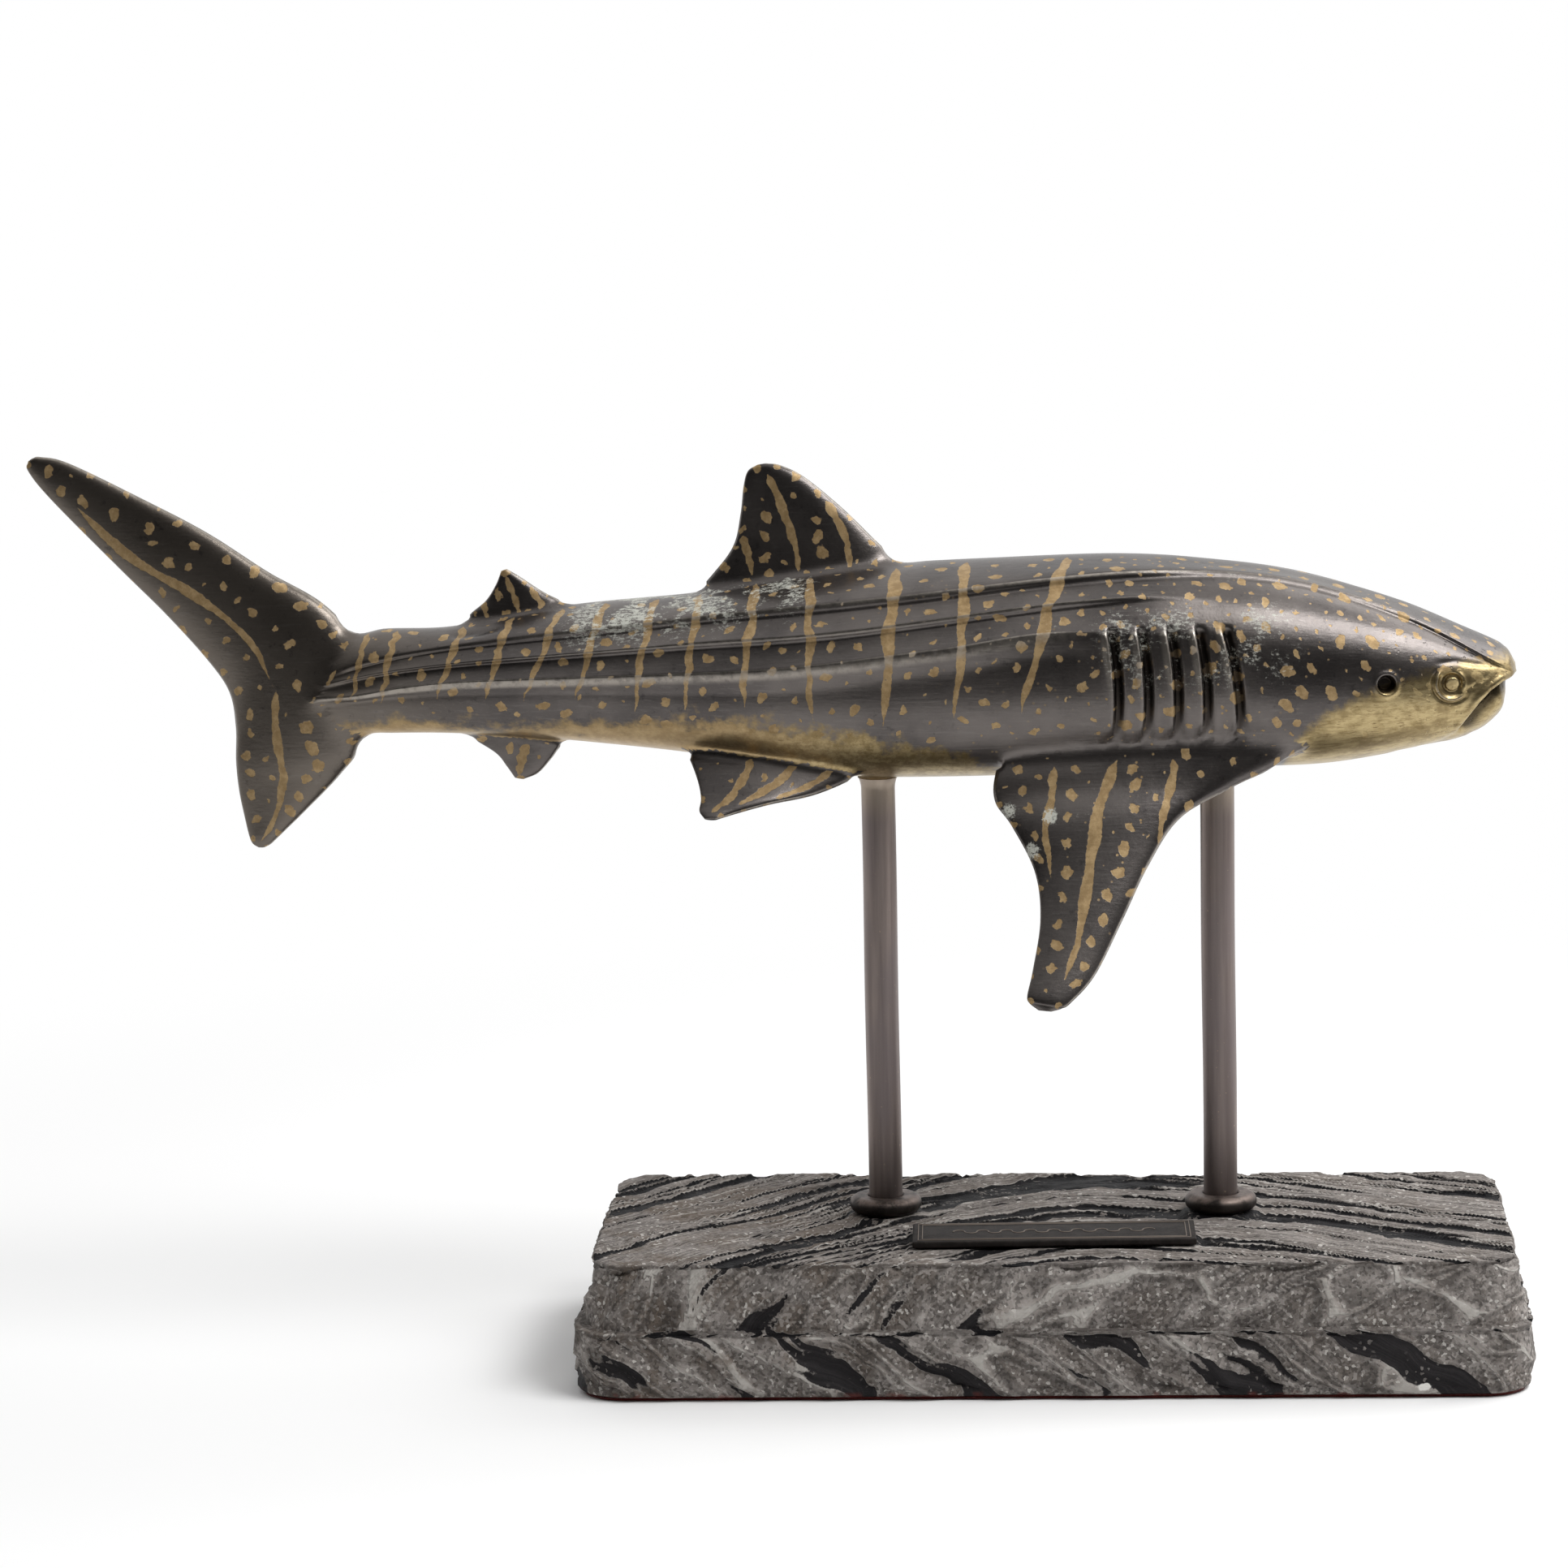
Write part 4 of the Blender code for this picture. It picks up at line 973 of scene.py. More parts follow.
def bronze_patina():
    """Dark waxed patina, dull gold paint, rubbed belly and chin, pale green-grey bloom along the back."""
    f = Finish("patinated_bronze_casting")
    place = f.place
    along, girth, kind = f.parts(f.attribute("lay"))
    x, _, height = f.parts(place)
    x, height = x * 1000, (height - float(SHARK_PLACE[2])) * 1000
    proud, crest, rubbed_line = (f.attribute(name, 2) for name in ("proud", "crest", "rubbed"))
    cloud = f.noise(place, 0.045, 5, 0.6)
    grain = f.noise(place, 0.0011, 4, 0.7)
    fleck = f.noise(place, 0.0032, 5, 0.65)
    brushed = f.noise(f.stretch(place, (70, 950, 950)), 1.0, 4, 0.65)
    # Patina: a violet-grey black metal, browner towards the tail, brushed lengthways.
    patina = f.mix(f.step(cloud, 0.35, 0.65), (0.088, 0.079, 0.076), (0.142, 0.127, 0.119))
    patina = f.mix(f.step(x, -190, -290) * 0.7, patina, (0.160, 0.137, 0.113))
    patina = f.mix(f.step(brushed, 0.52, 0.72) * 0.25, patina, (0.205, 0.190, 0.178))
    patina = f.mix(f.step(grain, 0.55, 0.75) * 0.25, patina, (0.205, 0.178, 0.150))
    # Paint: strokes and spots with uneven edges.
    offset, half, _ = f.parts(f.attribute("brush"))
    edge = f.noise(place, 0.0022, 4, 0.65) - 0.5
    stroke = f.step(half + edge * 1.6 - abs(offset), -0.10, 0.18)
    wobble = f.node("ShaderNodeTexNoise", None, {"Vector": place, "Scale": 420.0, "Detail": 3.0}, 1)
    wobble = f.vector("MULTIPLY", f.vector("SUBTRACT", wobble, (0.5, 0.5, 0.5)), (3.4, 3.4, 0.0))
    across, up, radius = f.parts(f.vector("ADD", f.attribute("spot"), wobble))
    dot = f.step(radius - (across * across + up * up).maths("SQRT"), -0.08, 0.16)
    seeds = f.node("ShaderNodeTexVoronoi", None, {"Vector": place, "Scale": 260.0})
    speckle_zone = f.step(f.noise(place, 0.03, 2), 0.42, 0.62) * f.step(x, -90, 20)
    specks = f.step(seeds, 0.16, 0.10) * speckle_zone
    paint = stroke.maths("MAXIMUM", dot).maths("MAXIMUM", specks * 0.9)
    paint = paint * f.step(f.noise(place, 0.0015, 4, 0.7), 0.24, 0.36)
    gold_paint = f.mix(f.step(fleck, 0.35, 0.7), (0.29, 0.193, 0.088), (0.44, 0.308, 0.155))
    # Rubbed metal: mottled olive at its upper edge, brighter below, brushed along the chin.
    chin = f.step(x, 80, 92)
    edge = f.noise(place, 0.009, 4, 0.6) - 0.5
    fine_edge = f.noise(place, 0.0022, 4, 0.7) - 0.5
    rubbed = f.step(rubbed_line + edge * (24 - chin * 14) + fine_edge * 6, -2.5, 3.5)
    rubbed = rubbed * (1 - f.step(kind, 0.7, 0.9))
    mottle = f.step(f.noise(place, 0.0035, 6, 0.75), 0.40, 0.62)
    scratches = f.noise(f.stretch(place, (110, 700, 620), (0, 0.45, 0)), 1.0, 4, 0.7)
    brass = f.mix(mottle * (1 - chin * 0.5), (0.25, 0.185, 0.085), (0.43, 0.335, 0.175))
    brass = f.mix(f.step(x, -60, -130) * 0.5, brass, (0.52, 0.36, 0.20))
    brass = f.mix(chin * f.step(scratches, 0.35, 0.6) * 0.7, brass, (0.53, 0.42, 0.22))
    blotch = f.step(f.noise(place, 0.013, 4, 0.6), 0.50, 0.62)
    brass = f.mix(chin * blotch * 0.65, brass, (0.22, 0.160, 0.075))
    brass = f.mix(f.step(rubbed_line + edge * 14, 7, 0) * 0.6, brass, (0.17, 0.120, 0.052))
    brass = f.mix(f.step(scratches, 0.60, 0.68) * (0.25 + chin * 0.5), brass, (0.17, 0.115, 0.055))
    stain = f.step(fleck, 0.58, 0.70) * f.step(cloud, 0.62, 0.45)
    patina = f.mix(stain * 0.5, patina, (0.045, 0.041, 0.042))
    colour = f.mix(paint, patina, gold_paint)
    colour = f.mix(rubbed * 0.94, colour, brass)
    # Polish and painted highlight: ridge crests, fin edges and raised lips are painted paler, partly for
    # their polish and partly for the light that catches them.
    polish_and_highlight = f.step(crest, 0.45, 0.95) * (0.25 + f.step(fleck, 0.3, 0.6) * 0.4)
    polish_and_highlight = polish_and_highlight + f.step(proud, 0.40, 1.1) * 0.6
    colour = f.mix(polish_and_highlight, colour, (0.43, 0.39, 0.34))
    # Painted shade with grime: grooves, folds, the mouth slit and the spiracle are darkened towards black
    # by their depth.
    hollow = f.step(proud, -0.35, -1.9)
    colour = f.mix(hollow * 0.85, colour, (0.018, 0.013, 0.010))
    # Bloom: fine pale streaks along the back, flecks about the gills, crusts on the pectoral fins.
    streaks = f.noise(f.stretch(place, (260, 1000, 1000)), 1.0, 6, 0.8)
    flecks = f.noise(place, 0.0016, 4, 0.8)
    crumbs = f.noise(place, 0.0009, 3, 0.8)
    back = f.step(x, -200, -165) * f.step(x, -70, -95) * f.step(girth, 44, 22) * (1 - kind)
    gills = f.step(x, 8, 28) * f.step(x, 108, 80) * f.step(height, 20, 50)
    gills = gills * f.step(height, 74, 62) * (1 - kind)
    everywhere = f.step(f.noise(place, 0.022, 3), 0.56, 0.72) * 0.45
    zone = back.maths("MAXIMUM", gills * 0.75).maths("MAXIMUM", everywhere)
    patch = f.step(f.noise(place, 0.012, 3), 0.35, 0.6)
    bloom = f.step(streaks * 0.55 + flecks * 0.45 + zone * patch * 0.16, 0.60, 0.70) * zone
    for crust_x, crust_height, size in ((-13.3, -7, 2.4), (1.7, -8.7, 2.6), (-5, -20.7, 2.6)):
        right, up = along - crust_x, height - crust_height
        away = (right * right + up * up).maths("SQRT")
        crust = f.step(away + flecks * 7, size + 3.9, size + 2.6) * f.step(crumbs, 0.36, 0.46) * kind
        bloom = bloom.maths("MAXIMUM", crust)
    colour = f.mix(bloom * 0.85, colour, (0.58, 0.585, 0.52))
    roughness = 0.24 + grain * 0.12 + cloud * 0.06 + bloom * 0.3 + paint * 0.18
    metallic = 0.95 - paint * 0.45 * (1 - rubbed) - bloom * 0.7
    metallic = metallic.maths("MAXIMUM", 0.0)
    pits = f.node("ShaderNodeTexVoronoi", None, {"Vector": place, "Scale": 620.0})
    pitted = f.step(pits, 0.30, 0.12) * f.step(f.noise(place, 0.005, 3), 0.5, 0.62) * f.step(x, 120, 150)
    heights = brushed * 0.5 + fleck * 0.7 - pitted * 1.6 - paint * 0.25
    return f.surface({
        "Base Color": colour, "Roughness": roughness, "Metallic": metallic,
        "Normal": f.bump(heights, 0.00012, 0.8),
    })


joined.materials.clear()
joined.materials.append(bronze_patina())
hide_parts("shark_casting")
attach(shark, "root")


# Posts. Round bronze rods, brazed into the belly and stepped down at the foot to a threaded spigot
# that goes through the stone. Their brown finish is streaked from top to bottom.
POST_FLARE, POST_FLARE_HEIGHT, POST_ROUND = 0.0012, 0.0050, 0.0006
THREAD_PITCH, THREAD_RADIUS, THREAD_END = 0.0015, 0.0005, 0.001
SPIGOT_STEP, SOCKET_DEPTH, CLEARANCE = 0.00135, 0.012, 0.0003
ROUND_STEPS = 72


def turned(name, profile, place, steps=ROUND_STEPS):
    """A turned mesh. A profile of (radius, height) that starts off the axis closes on itself."""
    open_ended = profile[0][0] == 0
    turns = np.linspace(0, 2 * math.pi, steps + 1)[:-1]
    bm = bmesh.new()
    rings = []
    for radius, height in profile:
        count = 1 if radius == 0 else steps
        ring = [
            bm.verts.new((place[0] + radius * math.cos(a), place[1] + radius * math.sin(a), height))
            for a in turns[:count]
        ]
        rings.append(ring)
    pairs = list(zip(rings, rings[1:])) + ([] if open_ended else [(rings[-1], rings[0])])
    for upper, lower in pairs:
        for i in range(steps):
            corners = [upper[i % len(upper)], upper[(i + 1) % len(upper)]]
            corners += [lower[(i + 1) % len(lower)], lower[i % len(lower)]]
            bm.faces.new(list(dict.fromkeys(corners)))
    bmesh.ops.recalc_face_normals(bm, faces=bm.faces)
    mesh = bpy.data.meshes.new(name)
    bm.to_mesh(mesh)
    bm.free()
    mesh.shade_smooth()
    mesh.set_sharp_from_angle(angle=math.radians(40))
    return mesh


def add_to(mesh, other):
    """Adds the faces of another mesh."""
    bm = bmesh.new()
    bm.from_mesh(mesh)
    bm.from_mesh(other)
    bm.to_mesh(mesh)
    bm.free()


def centre_of(word):
    """The upright axis of a round node."""
    low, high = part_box(word)
    return (low.x + high.x) / 2, (low.y + high.y) / 2


def rounding(middle, radius, start, end, steps=6):
    """Points of an arc in a profile, from one angle to another in degrees."""
    angles = np.radians(np.linspace(start, end, steps + 1))
    return [(middle[0] + radius * math.cos(a), middle[1] + radius * math.sin(a)) for a in angles]


def add_modifier_tree(name, inputs):
    """A geometry tree with named number inputs, its Graph, and the Group Input's outputs by name."""
    tree = bpy.data.node_groups.new(name, "GeometryNodeTree")
    tree.interface.new_socket("Geometry", in_out="OUTPUT", socket_type="NodeSocketGeometry")
    for label in inputs:
        kind = "NodeSocketInt" if label == "Count" else "NodeSocketFloat"
        tree.interface.new_socket(label, in_out="INPUT", socket_type=kind)
    graph = Graph(tree)
    entry = graph.node("NodeGroupInput").socket.node
    return tree, graph, {label: Value(graph, entry.outputs[label]) for label in inputs}


def grow(name, tree, values):
    """The plain mesh that a geometry tree makes from these inputs."""
    obj = lone_object(name, bpy.data.meshes.new(name))
    modifier = obj.modifiers.new(name, "NODES")
    modifier.node_group = tree
    for item in tree.interface.items_tree:
        if item.in_out == "INPUT" and item.name in values:
            modifier[item.identifier] = values[item.name]
    bpy.context.view_layer.update()
    mesh = bpy.data.meshes.new_from_object(obj.evaluated_get(bpy.context.evaluated_depsgraph_get()))
    bpy.data.objects.remove(obj)
    return mesh


def end_tree(graph, shape, material):
    """Ends a geometry tree in Realize Instances and Set Material."""
    real = graph.node("GeometryNodeRealizeInstances", None, {0: shape})
    painted = graph.node("GeometryNodeSetMaterial", None, {0: real})
    painted.socket.node.inputs["Material"].default_value = material
    graph.node("NodeGroupOutput", None, {0: painted})


def rod_bronze():
    """Brown-bronze rod: long streaks, a violet-brown cast, a few bright flecks."""
    f = Finish("brown_bronze_rod")
    streak = f.noise(f.stretch(f.place, (260, 260, 9)), 1.0, 4, 0.6)
    cloud = f.noise(f.stretch(f.place, (60, 60, 22)), 1.0, 3)
    colour = f.mix(f.step(streak, 0.25, 0.75), (0.165, 0.133, 0.123), (0.290, 0.240, 0.220))
    colour = f.mix(f.step(cloud, 0.42, 0.66) * 0.45, colour, (0.20, 0.17, 0.175))
    height = f.parts(f.place)[2]
    colour = f.mix(f.step(height, 0.200, 0.214) * 0.6, colour, (0.42, 0.35, 0.27))
    colour = f.mix(f.step(height, 0.085, 0.060) * 0.4, colour, (0.10, 0.082, 0.075))
    fleck = f.step(f.noise(f.place, 0.0013, 3, 0.7), 0.68, 0.74)
    colour = f.mix(fleck * 0.6, colour, (0.50, 0.38, 0.27))
    heights = streak * 0.5 + f.noise(f.place, 0.0010, 4, 0.7)
    return f.surface({
        "Base Color": colour, "Metallic": 0.85, "Roughness": 0.34 + 0.16 * cloud,
        "Normal": f.bump(heights, 0.00006, 0.7),
    })


rod_finish = rod_bronze()
thread_tree, graph, given = add_modifier_tree("thread", ["Turns", "Radius", "Height", "Crest"])
spiral = graph.node("GeometryNodeCurveSpiral", None, {
    "Resolution": 28, "Rotations": given["Turns"], "Start Radius": given["Radius"],
    "End Radius": given["Radius"], "Height": given["Height"],
})
ring = graph.node("GeometryNodeCurvePrimitiveCircle", None, {"Resolution": 4, "Radius": given["Crest"]})
coil = graph.node("GeometryNodeCurveToMesh", None, {0: spiral, 1: ring, "Fill Caps": True})
end_tree(graph, coil, rod_finish)

stone_low, stone_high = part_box("stone_plinth")
for word in ("rear", "front"):
    low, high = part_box(word + "_post")
    place = centre_of(word + "_post")
    radius = (high.x - low.x) / 2
    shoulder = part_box(word + "_collar")[0].z
    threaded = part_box(word + "_washer")[0].z - low.z
    spigot = radius - SPIGOT_STEP
    top, belly = high.z, high.z - SOCKET_DEPTH
    profile = [(0, top), (radius - POST_ROUND, top), (radius, top - POST_ROUND), (radius, belly + 0.001)]
    profile += [(radius + POST_FLARE, belly - 0.0006)]
    for part in np.linspace(0.15, 1, 6):
        profile.append((radius + POST_FLARE * (1 - part) ** 2, belly - POST_FLARE_HEIGHT * part))
    shaft = np.linspace(belly - POST_FLARE_HEIGHT - 0.004, shoulder + POST_ROUND, 14)
    profile += [(radius, z) for z in shaft]
    profile += [(radius - POST_ROUND, shoulder), (spigot, shoulder), (spigot, low.z + POST_ROUND)]
    profile += [(spigot - POST_ROUND, low.z), (0, low.z)]
    post = lone_object(word + "_bronze_post", turned(word + "_bronze_post", profile, place))
    sway = vertex_array(post.data)
    sway[:, 0] += 0.00012 * np.sin(sway[:, 2] * 55 + place[0] * 40)
    post.data.vertices.foreach_set("co", sway.ravel())
    thread = grow("thread", thread_tree, {
        "Turns": threaded / THREAD_PITCH, "Radius": spigot - THREAD_RADIUS * 0.6,
        "Height": threaded - 2 * THREAD_END, "Crest": THREAD_RADIUS,
    })
    thread.transform(Matrix.Translation((*place, low.z + THREAD_END)))
    add_to(post.data, thread)
    post.data.materials.append(rod_finish)
    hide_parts(word + "_post")
    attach(post, "root")


# Collars. Turned bronze rings that sit on the stone and hide the foot of each post: flat on top,
# with a full round rim that handling has rubbed a little brighter, and a painted highlight on their upward
# faces.
def dark_bronze(name, upward_rub_and_highlight, shine, lines_from=1.0):
    """Nearly black bronze: its second argument rubs its upward faces brown and paints a highlight on them,
    lines above a height are paler.
    """
    f = Finish(name)
    cloud = f.noise(f.place, 0.006, 5, 0.65)
    grain = f.noise(f.place, 0.0008, 3, 0.7)
    colour = f.mix(f.step(cloud, 0.35, 0.65), (0.026, 0.022, 0.020), (0.050, 0.042, 0.038))
    # Rubbed brown and painted highlight: faces that look upwards are made paler.
    pointing = f.parts(f.node("ShaderNodeNewGeometry", out=1))[2]
    polish_and_highlight = f.step(cloud, 0.3, 0.62) * f.step(pointing, 0.1, 0.7)
    colour = f.mix(polish_and_highlight * upward_rub_and_highlight, colour, (0.21, 0.165, 0.145))
    colour = f.mix(0.8 * (0.7 - shine), colour, (0.006, 0.005, 0.005))
    fleck = f.step(f.noise(f.place, 0.0009, 3, 0.7), 0.66, 0.72)
    colour = f.mix(fleck * 0.3, colour, (0.15, 0.127, 0.112))
    raised = f.step(f.parts(f.place)[2], lines_from, lines_from + 0.0001)
    colour = f.mix(raised, colour, (0.165, 0.138, 0.118))
    return f.surface({
        "Base Color": colour, "Metallic": shine, "Roughness": 0.60 - 0.32 * shine + 0.2 * grain,
        "Specular IOR Level": 0.12,
        "Normal": f.bump(grain + cloud * 0.6, 0.00006, 0.8),
    })


collar_finish = dark_bronze("dark_bronze_collar", 0.7, 0.7)
for word in ("rear", "front"):
    low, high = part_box(word + "_collar")
    roll = (high.z - low.z) / 2
    middle = ((high.x - low.x) / 2 - roll, (high.z + low.z) / 2)
    post_low, post_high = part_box(word + "_post")
    bore = (post_high.x - post_low.x) / 2 + CLEARANCE
    profile = [(bore, high.z - 0.0005), (bore + 0.0005, high.z)]
    profile += rounding(middle, roll, 90, -90, 18)
    profile += [(bore, low.z)]
    ring_mesh = turned(word + "_ring_collar", profile, centre_of(word + "_collar"))
    collar = lone_object(word + "_ring_collar", ring_mesh)
    collar.data.materials.append(collar_finish)
    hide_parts(word + "_collar")
    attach(collar, "root")


# Plinth. One block of layered black and grey stone, sawn to two steps and then worked by hand: the
# dark layers are cut back on the top, and the sides are chiselled into hollow facets, with a painted
# highlight along their ridges and painted shade in their hollows.
# In millimetres: the step's height and depth, the lean of the upper tier, how far the rear edge
# runs askew, and the rounding of the corners and edges.
STEP_UP, STEP_IN, LEAN = 25.3, 3.0, 3.3
SKEW, CORNER, EDGE = 8.0, 20.0, 3.0
TOP_GRID = (236, 160)
half_length = (stone_high.x - stone_low.x) * 500
half_depth = -stone_low.y * 1000
stone_height = (stone_high.z - stone_low.z) * 1000
stone_foot = float(stone_low.z) * 1000


def rounded(s, t, inset, corner):
    """Maps a square from -1 to 1 on the block's outline, set in by `inset`, with round corners."""
    a, b = half_length - inset, half_depth - inset
    x, y = s * a, t * b
    u, v = ((np.abs(x) - (a - corner)) / corner).clip(0), ((np.abs(y) - (b - corner)) / corner).clip(0)
    x = np.sign(x) * (np.minimum(np.abs(x), a - corner) + corner * u * np.sqrt(1 - v * v / 2))
    y = np.sign(y) * (np.minimum(np.abs(y), b - corner) + corner * v * np.sqrt(1 - u * u / 2))
    return x, y - SKEW * (x / half_length + 1) / 2 * (y / half_depth + 1) / 2


def side_profile():
    """(inset, height) from the underside up to the flat of the top."""
    upper = STEP_IN + LEAN
    points = [(9.0, 0.0)]
    points += [(EDGE + 1 - x, EDGE + 1 - y) for x, y in rounding((0, 0), EDGE + 1, 90, 0, 5)]
    points += [(0.0, z) for z in np.linspace(EDGE + 2, STEP_UP - EDGE + 0.6, 17)]
    points += [(EDGE - x, STEP_UP - EDGE + y) for x, y in rounding((0, 0), EDGE, 24, 88, 4)]
    points += [(STEP_IN + 0.25, STEP_UP + 0.5)]
    rise = np.linspace(STEP_UP + 1.6, stone_height - EDGE - 0.6, 19)
    points += [(STEP_IN + LEAN * (z - STEP_UP) / (stone_height - STEP_UP), z) for z in rise]
    points += [(upper + EDGE - x, stone_height - EDGE + y) for x, y in rounding((0, 0), EDGE, 6, 84, 5)]
    return points


def grid_of(columns, rows):
    """A grid over the square from -1 to 1: its places, its faces, and its rim as a ring of indices."""
    s, t = np.meshgrid(np.linspace(-1, 1, columns + 1), np.linspace(-1, 1, rows + 1), indexing="ij")
    index = np.arange(s.size).reshape(s.shape)
    quads = np.stack([index[:-1, :-1], index[1:, :-1], index[1:, 1:], index[:-1, 1:]], -1).reshape(-1, 4)
    rim = np.concatenate([index[:-1, 0], index[-1, :-1], index[:0:-1, -1], index[0, :0:-1]])
    return s, t, quads, rim


def block_mesh():
    """Rows of points up the sides, joined to a grid over the top and closed below."""
    s, t, quads, rim = grid_of(*TOP_GRID)
    profile = side_profile()
    inset_top = profile[-1][0] + 0.9
    x, y = rounded(s, t, inset_top, CORNER - inset_top * 0.6)
    points = [np.stack([x, y, np.full_like(x, stone_height)], -1).reshape(-1, 3)]
    faces = quads.tolist()
    rim_s, rim_t = s.ravel()[rim], t.ravel()[rim]
    above, start = rim, s.size
    for inset, height in reversed(profile):
        x, y = rounded(rim_s, rim_t, inset, CORNER - inset * 0.6)
        points.append(np.stack([x, y, np.full_like(x, height)], -1))
        here = start + np.arange(len(rim))
        faces += np.stack([above, here, np.roll(here, -1), np.roll(above, -1)], -1).tolist()
        above, start = here, start + len(rim)
    faces.append(above[::-1].tolist())
    points = np.concatenate(points)
    points[:, 2] += stone_foot
    return outward_mesh("plinth", points, faces)


def layer_height(points):
    """How deep a place lies in the pile of layers, which is arched along the block and tilted across it."""
    x, y, z = points[:, 0], points[:, 1], points[:, 2] - stone_height
    arch = np.where(x < 20, 1.15, 0.62) * 70 * np.log(np.cosh((x - 20) / 70))
    return y + arch + z * 0.95 + 8 * rough(points, 62, 1.0) + 2.2 * rough(points, 20, 5.0)


def chisel_lines(points):
    """On the sides the layers crop out as slanting lines, rising to the right above the step."""
    x, z = points[:, 0], points[:, 2]
    rising, falling = z - 0.85 * x + 0.0016 * x * x, z + 0.62 * x
    above = smooth_step(z, STEP_UP + 0.8, STEP_UP + 1.8)
    return falling + (rising - falling) * above + 4.5 * rough(points, 17, 3.0) + 1.3 * rough(points, 6, 2.0)


def cells(points, lines, length, breadth):
    """How far each place is from the border of the long hollow that it lies in, and the hollow's tone."""
    x, y, z = points.T
    along = x + 9 * rough(points, 28, 6.0) + 0.5 * z
    seeds = np.stack([lines / breadth, along / length, y / length + 7 * (z > STEP_UP + 1.3)], -1)
    found = [noise.voronoi(Vector(p)) for p in seeds.tolist()]
    near, next_near = np.array([distances[:2] for distances, _ in found]).T
    tone = rough(np.array([centres[0] for _, centres in found]) * 7.3, 1.0, 2.0)
    return 1 - near / next_near, tone


block = block_mesh()
stone_points, stone_normals = vertex_array(block), vertex_array(block, "normal")
on_top = smooth_step(stone_normals[:, 2], 0.55, 0.9)
x, y, z = stone_points.T
layer = layer_height(stone_points)
slanted = chisel_lines(stone_points)
upper_tier = (z > STEP_UP + 1.3) * (1 - on_top)
flow = np.stack([layer / 9.0, x / 130, z / 80], -1)
thin = np.stack([layer / 3.0, x / 75, z / 40], -1)
top_vein = 1.0 * rough(flow, 1.0, 2.0) + 0.6 * rough(thin, 1.0, 4.0) - 0.03 - 0.10 * smooth_step(x, -20, 80)
patch = np.stack([slanted / 17.0, x / 58, y / 58 + z / 40], -1)
shred = np.stack([slanted / 4.0, x / 30, y / 30], -1)
side_vein = rough(patch, 1.0, 7.0) + 0.42 * rough(shred, 1.0, 4.0) - 0.22
side_vein -= upper_tier * (0.16 + 0.26 * smooth_step(x, -90, 10))
vein = on_top * top_vein + (1 - on_top) * side_vein
hollow, hollow_tone = cells(stone_points, slanted, 44 + 16 * upper_tier, 15 + 5 * upper_tier)
border = on_top + (1 - on_top) * hollow
lamina = rough(np.stack([layer / 2.1, x / 45, z / 30], -1), 1.0, 9.0)
dark = smooth_step(vein, -0.03, 0.06)
relief = -dark * (1.3 * on_top + 0.9 * (1 - on_top)) - 0.30 * (1 + lamina) * on_top
relief -= (1 - on_top) * (4.4 * hollow - 0.7 * hollow_tone)
relief -= 0.5 * (1 + rough(stone_points, 26, 11.0)) * (1 - 0.6 * on_top)
relief -= 0.20 * (1 + rough(stone_points, 2.6, 6.0)) + 0.10 * (1 + rough(stone_points, 1.3, 8.0))
chipped = smooth_step(z, stone_height - 5, stone_height)
chipped = chipped * smooth_step(rough(stone_points, 11, 8.0), 0.05, 0.4)
relief -= chipped * (1 - 0.6 * on_top) * 1.5
relief *= smooth_step(z - stone_foot, -0.2, 2.0)
# The stone is left flat under the collars and nearly so under the plaque.
for word in ("rear", "front"):
    middle = centre_of(word + "_collar")
    away = np.hypot(x - middle[0] * 1000, y - middle[1] * 1000)
    relief = np.where((away < 17) & (on_top > 0.5), relief * smooth_step(away, 13.2, 16.5), relief)
low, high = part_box("plaque")
under = (x > low.x * 1000 - 1) & (x < high.x * 1000 + 1)
under &= (y > low.y * 1000 - 1) & (y < high.y * 1000 + 1)
relief = np.where(under & (on_top > 0.5), relief * 0.35 - 0.1, relief)
stone_points += stone_normals * relief[:, None]
block.vertices.foreach_set("co", (stone_points * MM).ravel())
store(block, "vein", vein)
store(block, "border", border)
store(block, "layer", on_top * layer + (1 - on_top) * slanted)
store(block, "on_top", on_top)
store(block, "tone", hollow_tone * (1 - on_top))


HOLE_RADIUS, BORE_ROOM, DRILL_TOP, DRILL_FOOT = 0.0053, 0.004, 0.08, -0.01


def drill(word):
    """A cutter for a spigot's hole, and the counterbore for its washer and nut."""
    low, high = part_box(word + "_washer")
    bore, ceiling = (high.x - low.x) / 2 + BORE_ROOM, high.z + CLEARANCE
    profile = [(0, DRILL_TOP), (HOLE_RADIUS, DRILL_TOP), (HOLE_RADIUS, ceiling), (bore, ceiling)]
    profile += [(bore, DRILL_FOOT), (0, DRILL_FOOT)]
    return turned(word + "_drill", profile, centre_of(word + "_post"), 40)


